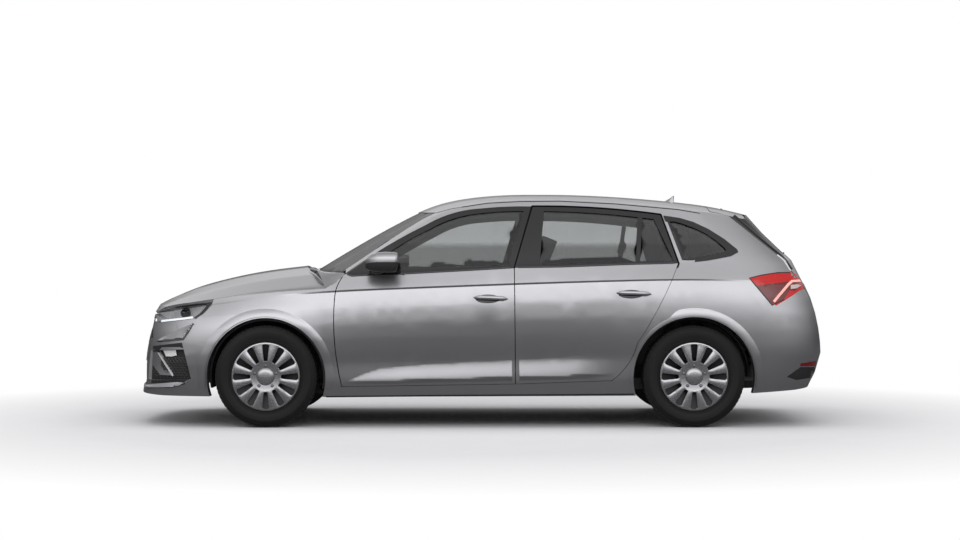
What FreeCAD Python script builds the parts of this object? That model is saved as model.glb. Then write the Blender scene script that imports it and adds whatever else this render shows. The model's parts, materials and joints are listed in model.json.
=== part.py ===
import FreeCAD, Part
import math
import os

os.makedirs("parts", exist_ok=True)
V = FreeCAD.Vector

# Driving sizes of the whole car, in mm. The nose points to -X and the ground is at zero height.
length = 4362.0
width = 1793.0
height = 1471.0
wheelbase = 2649.0
front_overhang = 862.0
front_track = 1531.0
rear_track = 1516.0

# Wheels and tyres
tyre_radius = 316.0
tyre_width = 205.0
rim_radius = 214.0
rim_width = 178.0
rim_wall = 5.0
arch_radius = 370.0
arch_drop = 7.0

# Panel depths and gaps
side_depth = 96.0
frame_depth = 48.0
roof_depth = 34.0
bonnet_depth = 30.0
bumper_depth = 44.0
fender_depth = 26.0
shut_gap = 5.5
seat_gap = 0.3
overrun = 60.0

# Places that follow from the driving sizes
half = width / 2
front_x = -length / 2
axle_front = front_x + front_overhang
axle_rear = axle_front + wheelbase


def px(share):
    return front_x + share * length


def pz(share):
    return share * height


def table(shares, x_share):
    """Value at x_share on a line through hand-chosen points, held level past its ends."""
    if x_share <= shares[0][0]:
        return shares[0][1]
    for (x0, v0), (x1, v1) in zip(shares, shares[1:]):
        if x_share <= x1:
            return v0 + (v1 - v0) * (x_share - x0) / (x1 - x0)
    return shares[-1][1]


def clamped(count, degree):
    knots = list(range(count - degree + 1))
    mults = [1] * len(knots)
    mults[0] = degree + 1
    mults[-1] = degree + 1
    return [float(k) for k in knots], mults


def spline_face(rows):
    """Smooth face that follows a net of points; its edges run through the outer rows."""
    du = min(3, len(rows) - 1)
    dv = min(3, len(rows[0]) - 1)
    uknots, umults = clamped(len(rows), du)
    vknots, vmults = clamped(len(rows[0]), dv)
    surface = Part.BSplineSurface()
    surface.buildFromPolesMultsKnots(rows, umults, vmults, uknots, vknots, False, False, du, dv)
    return surface.toShape()


def strip_faces(lines, count):
    """Narrow faces from line to line that follow one smooth form; count is how many strips."""
    degree = min(3, len(lines) - 1)
    knots, mults = clamped(len(lines), degree)
    columns = []
    for points in zip(*lines):
        curve = Part.BSplineCurve()
        curve.buildFromPolesMultsKnots(list(points), mults, knots, False, degree)
        columns.append([curve.value(curve.LastParameter * k / count) for k in range(count + 1)])
    fine = list(zip(*columns))
    return [spline_face([list(a), list(b)]) for a, b in zip(fine, fine[1:])]


def solid_of(faces):
    shell = Part.makeShell(faces)
    shell.sewShape()
    solid = Part.Solid(shell)
    if solid.Volume < 0:
        solid.reverse()
    return solid


def mirrored(shape):
    return shape.mirror(V(0, 0, 0), V(0, 1, 0))


# Body sides. Each level of the body is one line from the nose round the corner to the tail.
# nose and tail are the ends of the level, heights and widths its course between them.
nose_depth_share = 0.165
tail_depth_share = 0.13
nose_plan_shares = [(0.0, 0.0), (0.0, 0.28), (0.035, 0.52), (0.12, 0.74), (0.32, 0.9), (0.62, 0.965)]
tail_plan_shares = [(0.0, 0.0), (0.0, 0.34), (0.02, 0.62), (0.075, 0.82), (0.25, 0.935), (0.6, 0.985)]
side_station_shares = [0.165, 0.22, 0.3, 0.4, 0.52, 0.64, 0.74, 0.82]

level_shares = {
    "under": {"nose": 0.022, "tail": 0.958, "z": [(0, 0.055)], "w": [(0, 0.88), (0.5, 0.91), (1, 0.88)]},
    "lip": {"nose": 0.0, "tail": 0.982, "z": [(0, 0.135), (0.7, 0.135), (1, 0.165)],
            "w": [(0, 0.93), (0.2, 0.955), (0.8, 0.955), (1, 0.93)]},
    "sill": {"nose": 0.003, "tail": 0.993, "z": [(0, 0.18), (0.7, 0.195), (1, 0.215)],
             "w": [(0, 0.955), (0.2, 0.978), (0.8, 0.978), (1, 0.955)]},
    "wedge": {"nose": 0.0045, "tail": 1.0, "z": [(0, 0.255), (1, 0.31)],
              "w": [(0, 0.965), (0.2, 0.985), (0.35, 0.97), (0.65, 0.97), (0.8, 0.99), (1, 0.965)]},
    "low": {"nose": 0.006, "tail": 1.0, "z": [(0, 0.33), (1, 0.375)],
            "w": [(0, 0.965), (0.2, 1.0), (0.5, 0.99), (0.65, 0.99), (0.8, 1.002), (1, 0.965)]},
    "upper": {"nose": 0.014, "tail": 0.994, "z": [(0, 0.43), (1, 0.51)],
              "w": [(0, 0.94), (0.2, 1.01), (0.5, 1.025), (0.8, 1.015), (1, 0.965)]},
    "valley": {"nose": 0.0185, "tail": 0.977,
               "z": [(0, 0.479), (0.12, 0.512), (0.2, 0.549), (0.3, 0.571), (0.6, 0.606), (0.8, 0.622),
                     (1, 0.6)],
               "w": [(0, 0.88), (0.12, 0.905), (0.2, 0.93), (0.3, 0.968), (0.55, 0.972), (0.8, 0.97),
                     (1, 0.91)]},
    "crease": {"nose": 0.02, "tail": 0.975,
               "z": [(0, 0.484), (0.12, 0.518), (0.2, 0.556), (0.3, 0.579), (0.6, 0.614), (0.8, 0.629),
                     (1, 0.607)],
               "w": [(0, 0.875), (0.12, 0.895), (0.2, 0.925), (0.3, 0.972), (0.55, 0.976), (0.8, 0.972),
                     (1, 0.905)]},
    "belt": {"nose": 0.042, "tail": 0.96,
             "z": [(0, 0.6), (0.2, 0.625), (0.3, 0.645), (0.55, 0.67), (0.8, 0.692), (1, 0.71)],
             "w": [(0, 0.8), (0.2, 0.87), (0.3, 0.915), (0.5, 0.93), (0.7, 0.928), (0.85, 0.89),
                   (1, 0.83)]},
    "glass": {"nose": 0.09, "tail": 0.918, "z": [(0, 0.8), (0.3, 0.81), (1, 0.83)],
              "w": [(0, 0.72), (0.3, 0.81), (0.5, 0.84), (0.7, 0.835), (0.85, 0.79), (1, 0.74)]},
    "rail": {"nose": 0.12, "tail": 0.881, "z": [(0, 0.93), (1, 0.935)],
             "w": [(0, 0.62), (0.4, 0.71), (0.55, 0.725), (0.75, 0.715), (0.85, 0.685), (1, 0.64)]},
    "over": {"nose": 0.16, "tail": 0.86, "z": [(0, 1.08)],
             "w": [(0, 0.48), (0.4, 0.56), (0.75, 0.56), (1, 0.5)]},
}
side_groups = [(["under", "lip"], 1), (["lip", "sill", "wedge"], 2), (["wedge", "low", "upper", "valley"], 5),
               (["valley", "crease"], 1), (["crease", "belt"], 1), (["belt", "glass", "rail", "over"], 4)]


def level_line(name, inset):
    level = level_shares[name]
    nose = level["nose"]
    tail = level["tail"]
    stations = [(nose + a * nose_depth_share, b) for a, b in nose_plan_shares]
    stations += [(s, 1.0) for s in side_station_shares]
    stations += [(tail - a * tail_depth_share, b) for a, b in reversed(tail_plan_shares)]
    low = px(nose) + inset
    high = px(tail) - inset
    line = []
    for x_share, b in stations:
        w = table(level["w"], x_share) * half - inset
        z = pz(table(level["z"], x_share))
        x = low + (px(x_share) - px(nose)) * (high - low) / (px(tail) - px(nose))
        line.append(V(x, -w * b, z))
    return line


def side_block(insets, groups):
    """The body's outer form, or an inner form set in by each level's inset."""
    faces = []
    for names, count in groups:
        faces += strip_faces([level_line(name, insets[name]) for name in names], count)
    lids = []
    for face, name in ((faces[0], groups[0][0][0]), (faces[-1], groups[-1][0][-1])):
        line = level_line(name, insets[name])
        for edge in face.Edges:
            middle = edge.valueAt((edge.FirstParameter + edge.LastParameter) / 2)
            if edge.Length > half and abs(middle.z - line[0].z) < seat_gap:
                lids.append(Part.Face(Part.Wire([edge, mirrored(edge)])))
    return solid_of(faces + [mirrored(face) for face in faces] + lids)


# Top of the body: bonnet, then windscreen and roof, each a crowned surface on its centre line.
crown_half_share = 0.69
crown_reach_share = 1.6
crown_strips = 10
under_strips = 6
glass_strips = 8
cabin_top_shares = [(0.2, 0.552, 0.062), (0.228, 0.614, 0.066), (0.258, 0.672, 0.068), (0.328, 0.796, 0.068),
                    (0.375, 0.872, 0.064), (0.418, 0.938, 0.056), (0.452, 0.97, 0.048), (0.49, 0.988, 0.042),
                    (0.5376, 1.0, 0.039), (0.5876, 1.0, 0.038), (0.63, 1.0, 0.038), (0.70, 0.9915, 0.039),
                    (0.77, 0.9745, 0.04), (0.836, 0.954, 0.044), (0.8806, 0.926, 0.048), (0.94, 0.88, 0.05),
                    (1.02, 0.82, 0.05)]
bonnet_top_shares = [(-0.02, 0.40, 0.02), (0.004, 0.476, 0.05), (0.02, 0.512, 0.075), (0.045, 0.552, 0.09),
                     (0.08, 0.594, 0.1), (0.12, 0.625, 0.105), (0.17, 0.658, 0.105), (0.225, 0.679, 0.104),
                     (0.3, 0.7, 0.104)]
bonnet_half_share = 0.93


def top_block(shares, half_share, drop, strips=crown_strips):
    """Everything under a crowned surface, from its centre line down to the road."""
    lines = []
    for k in range(strips + 1):
        t = crown_reach_share * (2 * k / strips - 1)
        lines.append([V(px(x), t * half_share * half, pz(z - crown * t ** 2) - drop)
                      for x, z, crown in shares])
    faces = [spline_face([a, b]) for a, b in zip(lines, lines[1:])]
    for line in (lines[0], lines[-1]):
        faces.append(spline_face([line, [V(p.x, p.y, -height) for p in line]]))
    for end in (0, -1):
        points = [line[end] for line in lines]
        points += [V(points[-1].x, points[-1].y, -height), V(points[0].x, points[0].y, -height)]
        faces.append(Part.Face(Part.makePolygon(points + [points[0]])))
    corners = [V(line[end].x, line[end].y, -height) for line, end in
               ((lines[0], 0), (lines[0], -1), (lines[-1], -1), (lines[-1], 0))]
    faces.append(Part.Face(Part.makePolygon(corners + [corners[0]])))
    return solid_of(faces)


def box(x0, x1, y0, y1, z0, z1):
    return Part.makeBox(x1 - x0, y1 - y0, z1 - z0, V(x0, y0, z0))


def outline_wire(runs, place):
    """Closed wire of runs of points: two points are a line, three an arc and more a smooth curve."""
    edges = []
    for run in runs:
        points = [place(point) for point in run]
        if len(points) == 2:
            edges.append(Part.makeLine(points[0], points[1]))
        elif len(points) == 3:
            edges.append(Part.Arc(points[0], points[1], points[2]).toShape())
        else:
            curve = Part.BSplineCurve()
            curve.interpolate(points)
            edges.append(curve.toShape())
    return Part.Wire(Part.__sortEdges__(edges))


def side_place(point):
    return V(px(point[0]), 0, pz(point[1]))


def side_prism(runs, inset=0.0, near=-half - overrun, far=0.0):
    """A side-view outline drawn in by inset and cut through the left half of the car."""
    wire = outline_wire(runs, side_place)
    face = Part.Face(wire)
    if inset:
        face = face.makeOffset2D(-inset)
    face.translate(V(0, near, 0))
    return face.extrude(V(0, far - near, 0))


def closed(*runs):
    """Joins the ends of the runs with straight lines."""
    full = []
    for this, following in zip(runs, runs[1:] + runs[:1]):
        full.append(list(this))
        if this[-1] != following[0]:
            full.append([this[-1], following[0]])
    return full


# Outlines in side view, as shares of length from the nose and of height from the ground
door_belt_share = 0.671
door_hinge_front_share = 0.2948
door_hinge_rear_share = 0.55
door_sill_shares = [(0.3055, 0.172), (0.552, 0.183), (0.688, 0.197)]
door_front_runs_share = [[(0.310, 0.649), (0.2995, 0.6), (0.2955, 0.55)],
                         [(0.2955, 0.55), (0.2948, 0.4), (0.3055, 0.172)]]
door_middle_runs_share = [[(0.5515, 0.183), (0.55, 0.671)], [(0.55, 0.671), (0.577, 0.9345)]]
door_rear_runs_share = [[(0.7613, 0.8987), (0.7836, 0.6905)],
                        [(0.7836, 0.6905), (0.7605, 0.54), (0.7242, 0.3546)],
                        [(0.7242, 0.3546), (0.7069, 0.25), (0.688, 0.197)]]
frame_front_runs_share = [[(0.577, 0.9345), (0.54, 0.934), (0.5025, 0.9259)],
                          [(0.5025, 0.9259), (0.464, 0.907), (0.4249, 0.857)],
                          [(0.4249, 0.857), (0.3815, 0.788), (0.310, 0.649)]]
frame_rear_runs_share = [[(0.577, 0.9345), (0.69, 0.9222), (0.7613, 0.8987)]]
pane_front_runs_share = [[(0.3400, 0.668), (0.44, 0.676), (0.5408, 0.683)],
                         [(0.5408, 0.683), (0.5642, 0.914)],
                         [(0.5642, 0.914), (0.535, 0.913), (0.5035, 0.905)],
                         [(0.5035, 0.905), (0.469, 0.887), (0.43, 0.838)],
                         [(0.43, 0.838), (0.3875, 0.768), (0.3400, 0.668)]]
pane_rear_runs_share = [[(0.5858, 0.686), (0.65, 0.692), (0.7230, 0.699)],
                        [(0.7230, 0.699), (0.7285, 0.888)],
                        [(0.7285, 0.888), (0.66, 0.9065), (0.5935, 0.914)],
                        [(0.5935, 0.914), (0.5858, 0.686)]]
pane_light_runs_share = [[(0.7290, 0.7), (0.7355, 0.7), (0.7765, 0.7035)], [(0.7765, 0.7035), (0.7510, 0.88)],
                         [(0.7510, 0.88), (0.7345, 0.886)], [(0.7345, 0.886), (0.7290, 0.7)]]
quarter_runs_share = [[(0.7890, 0.704), (0.7690, 0.883)], [(0.7690, 0.883), (0.8205, 0.832), (0.859, 0.742)],
                      [(0.859, 0.742), (0.83, 0.713), (0.7890, 0.704)]]


def both_sides(left_side, grow):
    """A flat face from the left half of its outline, drawn outward by grow."""
    right_side = [V(p.x, -p.y, p.z) for p in reversed(left_side) if abs(p.y) > 0]
    face = Part.Face(Part.makePolygon(left_side + right_side + [left_side[0]]))
    return face.makeOffset2D(grow, 2) if grow else face


def plan_prism(points, grow=0.0):
    """A plan outline, given for the left side and mirrored, cut through the whole height."""
    face = both_sides([V(px(x), -y * half, 0) for x, y in points], grow)
    return face.extrude(V(0, 0, height + overrun))


def end_prism(points, x0, x1, grow=0.0):
    """An outline in the rear view, given for the left side and mirrored, cut from x0 to x1."""
    face = both_sides([V(x0 - grow, -y * half, pz(z)) for y, z in points], grow)
    return face.extrude(V(x1 - x0 + grow, 0, 0))


def inner_block(side, upper, front, rear):
    """The hollow inside: flat walls that follow the body's sides at a depth of their own."""
    wires = []
    for z_share, w_share, depth, nose_share, tail_share in inner_level_shares:
        wall = {"side": side, "upper": upper}[depth]
        points = []
        for x_share, b in inner_plan_shares:
            x = px(nose_share + (tail_share - nose_share) * x_share)
            x += front * (1 - x_share) - rear * x_share
            points.append(V(x, -(w_share * half * b - wall), pz(z_share)))
        points += [V(p.x, -p.y, p.z) for p in reversed(points)]
        wires.append(Part.makePolygon(points + [points[0]]))
    return Part.makeLoft(wires, True, True)


inner_plan_shares = [(0.0, 0.32), (0.012, 0.56), (0.035, 0.72), (0.085, 0.86), (0.18, 0.95), (0.5, 1.0),
                     (0.8, 0.985), (0.915, 0.93), (0.965, 0.84), (0.985, 0.72), (1.0, 0.5)]
inner_level_shares = [(0.06, 0.91, "side", 0.02, 0.962), (0.135, 0.95, "side", 0.0, 0.982),
                      (0.29, 0.975, "side", 0.005, 1.0), (0.42, 0.99, "side", 0.012, 0.998),
                      (0.51, 0.985, "side", 0.016, 0.985), (0.645, 0.94, "side", 0.05, 0.965),
                      (0.665, 0.93, "upper", 0.06, 0.96), (0.8, 0.845, "upper", 0.1, 0.915),
                      (1.02, 0.66, "upper", 0.14, 0.86)]
flush_groups = [(["under", "lip"], 1), (["lip", "low", "upper", "belt"], 4),
                (["belt", "glass", "rail", "over"], 3)]


def inset_block(depth):
    """An inner form at an even depth under the curved skin, for thin parts set into it."""
    return side_block({name: depth for name in level_shares}, flush_groups)


def hollow_block(depth):
    """The plain inner form of a thin panel."""
    return inner_block(depth, depth, depth, depth)


def save(name, *solids):
    shapes = [part for solid in solids for part in solid.Solids]
    whole = shapes[0] if len(shapes) == 1 else Part.makeCompound(shapes)
    whole.exportStep("parts/" + name + ".step")


# Outer form of the whole car
flush = {name: 0.0 for name in level_shares}
cabin_top = top_block(cabin_top_shares, crown_half_share, 0.0)
bonnet_top = top_block(bonnet_top_shares, bonnet_half_share, 0.0)
outer = side_block(flush, side_groups).common(cabin_top.fuse(bonnet_top))
sole_shares = [(-0.02, 0.15), (0.006, 0.134), (0.045, 0.13), (0.15, 0.13), (0.2, 0.128), (0.78, 0.135),
               (0.88, 0.142), (0.95, 0.155), (0.982, 0.165), (1.02, 0.2), (1.02, -0.02), (-0.02, -0.02)]
sole = side_prism(closed(*[[a, b] for a, b in zip(sole_shares, sole_shares[1:])]), far=half + overrun)
outer = outer.cut(sole)
left_space = box(front_x - overrun, -front_x + overrun, -half - overrun, 0, -overrun, height + overrun)
left_outer = outer.common(left_space)
cabin_void = inner_block(side_depth, frame_depth, side_depth, side_depth)
roof_under = top_block(cabin_top_shares, crown_half_share, roof_depth, under_strips)
cabin_void = cabin_void.common(roof_under)
fender_void = hollow_block(fender_depth)
bumper_void = hollow_block(bumper_depth)


def arch(axle, radius, near=-half - overrun, far=0.0):
    return Part.makeCylinder(radius, far - near, V(axle, near, tyre_radius - arch_drop), V(0, 1, 0))


front_arch = arch(axle_front, arch_radius)
rear_arch = arch(axle_rear, arch_radius + arch_drop)


# Regions that split the body where its panels meet
gate_start_share = 0.8355
gate_gap = 11.0
roof_end_share = gate_start_share - shut_gap / length
bonnet_plan_shares = [(0.0, 0.0), (0.0, 0.3), (0.02, 0.5), (0.048, 0.665), (0.085, 0.775), (0.125, 0.835),
                      (0.2, 0.885), (0.283, 0.93), (0.272, 0.74), (0.252, 0.45), (0.243, 0.2), (0.241, 0.0)]
cowl_plan_shares = [(0.241, 0.0), (0.243, 0.2), (0.252, 0.45), (0.272, 0.74), (0.28, 0.83), (0.297, 0.79),
                    (0.279, 0.62), (0.262, 0.35), (0.257, 0.0)]
screen_plan_shares = [(0.2585, 0.0), (0.2635, 0.35), (0.2805, 0.62), (0.304, 0.83), (0.36, 0.757),
                      (0.438, 0.655), (0.42, 0.45), (0.412, 0.25), (0.408, 0.0)]
roof_plan_shares = [(0.4105, 0.0), (0.4145, 0.25), (0.4225, 0.45), (0.4405, 0.657), (0.52, 0.672),
                    (0.7, 0.667), (roof_end_share, 0.64), (roof_end_share, 0.0)]
gate_end_shares = [(0.0, 0.43), (0.6, 0.43), (0.7, 0.5), (0.735, 0.6), (0.755, 0.66), (0.7, 0.8),
                   (0.66, 0.88), (0.63, 0.93), (0.62, 1.05), (0.0, 1.05)]
rear_screen_end_shares = [(0.0, 0.715), (0.5, 0.72), (0.66, 0.735), (0.6, 0.85), (0.57, 0.9), (0.0, 0.912)]
lamp_side_runs_share = [[(0.026, 0.440), (0.06, 0.4475), (0.0975, 0.456)], [(0.0975, 0.456), (0.1185, 0.512)],
                        [(0.1185, 0.512), (0.123, 0.56)], [(0.123, 0.56), (0.026, 0.51)],
                        [(0.026, 0.51), (0.026, 0.440)]]
tail_lamp_runs_share = [[(0.888, 0.6225), (0.93, 0.632), (0.965, 0.6225)], [(0.965, 0.6225), (0.99, 0.598)],
                        [(0.99, 0.598), (0.958, 0.574)], [(0.958, 0.574), (0.9215, 0.512)],
                        [(0.9215, 0.512), (0.888, 0.6225)]]
fender_runs_share = [[(0.283, 0.62), (0.310, 0.649)], *door_front_runs_share,
                     [(0.3055, 0.172), (0.3055, 0.1)], [(0.3055, 0.1), (0.1, 0.1)],
                     [(0.1, 0.1), (0.0925, 0.3)], [(0.0925, 0.3), (0.087, 0.42)],
                     [(0.087, 0.42), (0.0975, 0.456)], [(0.0975, 0.456), (0.1185, 0.512)],
                     [(0.1185, 0.512), (0.123, 0.56)], [(0.123, 0.56), (0.283, 0.62)]]
quarter_end_runs_share = [[(0.9215, 0.512), (0.951, 0.427)], [(0.951, 0.427), (0.894, 0.4)],
                          [(0.894, 0.4), (0.86, 0.39)], [(0.86, 0.39), (0.86, 0.1)]]


def full_prism(runs, inset=0.0):
    return side_prism(runs, inset, far=half + overrun)


bonnet_edge_shares = [(-0.02, 0.475), (0.32, 0.455)]
over_roof_share = 1.1


def above(edge_shares, drop=0.0):
    """Everything above a straight edge in side view, from an edge lowered by drop."""
    (x0, z0), (x1, z1) = [(x, z - drop / height) for x, z in edge_shares]
    return full_prism(closed([(x0, z0), (x1, z1)], [(x1, over_roof_share), (x0, over_roof_share)]))


bonnet_space = plan_prism(bonnet_plan_shares).common(above(bonnet_edge_shares))
bonnet_hole = plan_prism(bonnet_plan_shares, shut_gap).common(above(bonnet_edge_shares, shut_gap))
bonnet_pivot_share = 0.282
cowl_space = plan_prism(cowl_plan_shares)
screen_space = plan_prism(screen_plan_shares)
roof_space = plan_prism(roof_plan_shares)
gate_space = end_prism(gate_end_shares, px(gate_start_share), -front_x + overrun)
gate_hole = end_prism(gate_end_shares, px(gate_start_share), -front_x + overrun, gate_gap)


# Doors. Behind the skin's edge each door steps in, so that it swings clear of its neighbour.
door_edge_depth = fender_depth
door_step = 12.0
frame_front_end_shares = [(0.5494, 0.671), (0.5755, 0.9345)]
door_front_runs = closed(*door_front_runs_share, [door_sill_shares[0], door_sill_shares[1]],
                         *door_middle_runs_share[:-1], frame_front_end_shares, *frame_front_runs_share)
door_rear_runs = closed(*[run[::-1] for run in door_middle_runs_share[::-1]],
                        [door_sill_shares[1], door_sill_shares[2]],
                        *[run[::-1] for run in door_rear_runs_share[::-1]],
                        *[run[::-1] for run in frame_rear_runs_share])
front_hole = side_prism(door_front_runs)
rear_hole = side_prism(door_rear_runs)
frame_clearance = 8.0
above_belt = box(front_x, -front_x, -half, 0.0, pz(door_belt_share), height)
frame_hole = side_prism(door_rear_runs, -frame_clearance).common(above_belt)
pane_spaces = {"front": [side_prism(closed(*pane_front_runs_share))],
               "rear": [side_prism(closed(*pane_rear_runs_share)),
                        side_prism(closed(*pane_light_runs_share))]}
quarter_space = side_prism(closed(*quarter_runs_share))
door_skin = left_outer.cut(cabin_void)
edge_void = hollow_block(door_edge_depth)


def door_panel(runs):
    step = edge_void.common(left_space).cut(side_prism(runs, door_step + shut_gap / 2))
    return door_skin.common(side_prism(runs, shut_gap / 2)).cut(step)


door_front = door_panel(door_front_runs)
door_rear = door_panel(door_rear_runs).cut(arch(axle_rear, arch_radius + arch_drop + shut_gap))
for space in pane_spaces["front"]:
    door_front = door_front.cut(space)
for space in pane_spaces["rear"]:
    door_rear = door_rear.cut(space)
for end, door in (("front", door_front), ("rear", door_rear)):
    save("door_" + end + "_left", door)
    save("door_" + end + "_right", mirrored(door))

# Window glass: panes set a little under the body's surface
glass_inset = 5.0
glass_thickness = 5.0
glass_group = [(["belt", "glass", "rail", "over"], 3)]
pane_outer = side_block({name: glass_inset for name in level_shares}, glass_group)
pane_inner = side_block({name: glass_inset + glass_thickness for name in level_shares}, glass_group)
pane_skin = pane_outer.cut(pane_inner).common(left_space)
for end in ("front", "rear"):
    panes = [pane_skin.common(space) for space in pane_spaces[end]]
    save("glass_" + end + "_left", *panes)
    save("glass_" + end + "_right", *[mirrored(pane) for pane in panes])
quarter_pane = pane_skin.common(quarter_space)
glass_top = top_block(cabin_top_shares, crown_half_share, glass_inset, glass_strips)
glass_bottom = top_block(cabin_top_shares, crown_half_share, glass_inset + glass_thickness, glass_strips)
windscreen = glass_top.cut(glass_bottom).common(screen_space)
save("fixed_glass", windscreen, quarter_pane, mirrored(quarter_pane))

# Roof, with its antenna fin
roof = outer.cut(roof_under).common(roof_space)
gate_hinge_y_share = 0.35
gate_hinge_width = 70.0
gate_hinge_length = 70.0
gate_hinge_bottom = 1334.0
gate_hinge_top = 1374.0
hinge_end = px(gate_start_share) - seat_gap
gate_hinge_y = gate_hinge_y_share * half
gate_hinge = box(hinge_end - gate_hinge_length, hinge_end, -gate_hinge_y - gate_hinge_width / 2,
                 -gate_hinge_y + gate_hinge_width / 2, gate_hinge_bottom, gate_hinge_top)
roof = roof.fuse([gate_hinge, mirrored(gate_hinge)])
save("roof_panel", roof)

# Bonnet
bonnet_under = top_block(bonnet_top_shares, bonnet_half_share, bonnet_depth, under_strips)
bonnet = outer.common(bonnet_space).cut(bonnet_under)
save("bonnet", bonnet)

# Fenders
fender_shell = left_outer.cut(fender_void)
fender = fender_shell.common(side_prism(fender_runs_share)).cut(side_prism(door_front_runs, -shut_gap / 2))
fender = fender.cut(bonnet_hole).cut(cowl_space).cut(front_arch).cut(screen_space)
hinge_length = 60.0
hinge_thick = 22.0
bonnet_hinge_x = px(bonnet_pivot_share)
bonnet_hinge_inner_share = 0.8
hinge_pad = top_block(bonnet_top_shares, bonnet_half_share, bonnet_depth + seat_gap, under_strips)
hinge_under = bonnet_depth + hinge_thick
hinge_pad = hinge_pad.cut(top_block(bonnet_top_shares, bonnet_half_share, hinge_under, under_strips))
hinge_pad = hinge_pad.common(box(bonnet_hinge_x - hinge_length, bonnet_hinge_x, -half,
                                 -bonnet_hinge_inner_share * half, 0.0, height)).common(left_outer)
fender = fender.fuse(hinge_pad)
save("fenders", fender, mirrored(fender))

# Body sides: sills, pillars, roof rails and rear quarters
side_region = full_prism([[(0.3055, 0.1), (0.3055, 0.172)],
                          *[run[::-1] for run in door_front_runs_share[::-1]],
                          [(0.310, 0.649), (0.3, 1.05)], [(0.3, 1.05), (0.955, 1.05)],
                          [(0.955, 1.05), (0.955, 0.6)], [(0.955, 0.6), (0.9215, 0.512)],
                          *quarter_end_runs_share, [(0.88, 0.1), (0.3055, 0.1)]])
post_depth = 42.0
post_reach = 60.0
post_front_share = 0.283
post_rear_share = 0.8
ring_inner = inner_block(side_depth + post_depth, frame_depth + post_depth, side_depth, side_depth)
door_seal = inner_block(side_depth + shut_gap, frame_depth + shut_gap, side_depth, side_depth)
ring_space = box(px(post_front_share), px(post_rear_share), -half, 0.0, 0.0, height)
ring = cabin_void.common(ring_space).cut(ring_inner)
door_zone_runs_share = closed([(0.293, 0.165), (0.72, 0.165)], [(0.79, 0.68), (0.768, 0.935)],
                              [(0.5, 0.945), (0.42, 0.88)], [(0.302, 0.66), (0.29, 0.5)])
ring = ring.cut(side_prism(door_zone_runs_share).cut(door_seal))
for runs in (door_front_runs, door_rear_runs):
    ring = ring.cut(side_prism(runs, post_reach))
side = door_skin.common(side_region).cut(front_hole).cut(rear_hole).cut(frame_hole)
side = side.cut(rear_arch).cut(roof_space).cut(screen_space).cut(gate_hole).cut(quarter_space)
hinge_reach = 46.0
hinge_height = 64.0
hinge_height_shares = [0.27, 0.5]
hinge_start = 14.0
pads = []
for hinge_share in (door_hinge_front_share, door_hinge_rear_share):
    for z_share in hinge_height_shares:
        x0 = px(hinge_share) + hinge_start
        pads.append(box(x0, x0 + hinge_reach, -half, 0.0, pz(z_share), pz(z_share) + hinge_height))
pad_space = inner_block(side_depth + seat_gap, frame_depth + seat_gap, side_depth, side_depth).cut(door_seal)
frame = ring.cut(rear_arch).cut(sole).cut(roof_space).cut(gate_hole).common(roof_under)
frame = frame.fuse(pad_space.common(Part.makeCompound(pads)))
save("side_frames", frame, mirrored(frame))
tail_lamp_space = side_prism(closed(*tail_lamp_runs_share))
side = side.cut(tail_lamp_space)
save("body_sides", side, mirrored(side))


# Front bumper with its openings, grilles and headlamps
front_space = full_prism(closed([(-0.02, 0.1), (0.1, 0.1)], [(0.0925, 0.3), (0.087, 0.42)],
                                [(0.0975, 0.456), (0.1185, 0.512)], [(0.123, 0.56), (0.123, 0.6)],
                                [(-0.02, 0.6), (-0.02, 0.1)]))
grille_end_shares = [(0.0, 0.36), (0.44, 0.365), (0.53, 0.415), (0.5, 0.452), (0.0, 0.458)]
intake_end_shares = [(0.0, 0.17), (0.62, 0.165), (0.56, 0.27), (0.0, 0.285)]
side_intake_runs_share = closed([(0.02, 0.318), (0.098, 0.331)], [(0.108, 0.222), (0.09, 0.2)],
                                [(0.02, 0.195), (0.02, 0.318)])
side_intake_inner_share = 0.66
nose_back_share = 0.09
nose_back_x = px(nose_back_share)
lamp_inner_share = 0.5
lamp_start = -lamp_inner_share * half
lamp_depth = 130.0
lamp_space = side_prism(closed(*lamp_side_runs_share), far=lamp_start)
grille_space = end_prism(grille_end_shares, front_x - overrun, nose_back_x)
intake_space = end_prism(intake_end_shares, front_x - overrun, nose_back_x)
side_intake_space = side_prism(side_intake_runs_share, far=-side_intake_inner_share * half)
bumper = outer.cut(bumper_void).common(front_space).cut(bonnet_hole).cut(front_arch).cut(mirrored(front_arch))
for space in (grille_space, intake_space, lamp_space, mirrored(lamp_space), side_intake_space,
              mirrored(side_intake_space)):
    bumper = bumper.cut(space)
save("bumper_front", bumper)
lamp = left_outer.common(lamp_space).cut(hollow_block(lamp_depth)).cut(bonnet_hole)
save("headlamps", lamp, mirrored(lamp))
grille_inset = 12.0
grille_depth = 14.0
slat_pitch = 46.0
slat_width = 12.0
slat_reach_share = 0.44
slat_foot_share = 0.375
slat_head_share = 0.44
grille_skin = inset_block(grille_inset).cut(inset_block(grille_inset + grille_depth))
grille_seat = 24.0
upper_grille = grille_skin.common(end_prism(grille_end_shares, front_x - overrun, nose_back_x, grille_seat))
upper_grille = upper_grille.cut(bumper).cut(lamp_space).cut(mirrored(lamp_space))
slat_count = int(slat_reach_share * half / slat_pitch)
for k in range(-slat_count, slat_count + 1):
    y = k * slat_pitch
    slot = box(front_x, nose_back_x, y - (slat_pitch - slat_width) / 2, y + (slat_pitch - slat_width) / 2,
               pz(slat_foot_share), pz(slat_head_share))
    upper_grille = upper_grille.cut(slot)
lower_grille = grille_skin.common(intake_space)
bar_height = 14.0
bar_pitch = 40.0
bar_count = 3
bar_foot_share = 0.185
bar_reach_share = 0.53
bar_reach = bar_reach_share * half
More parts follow.
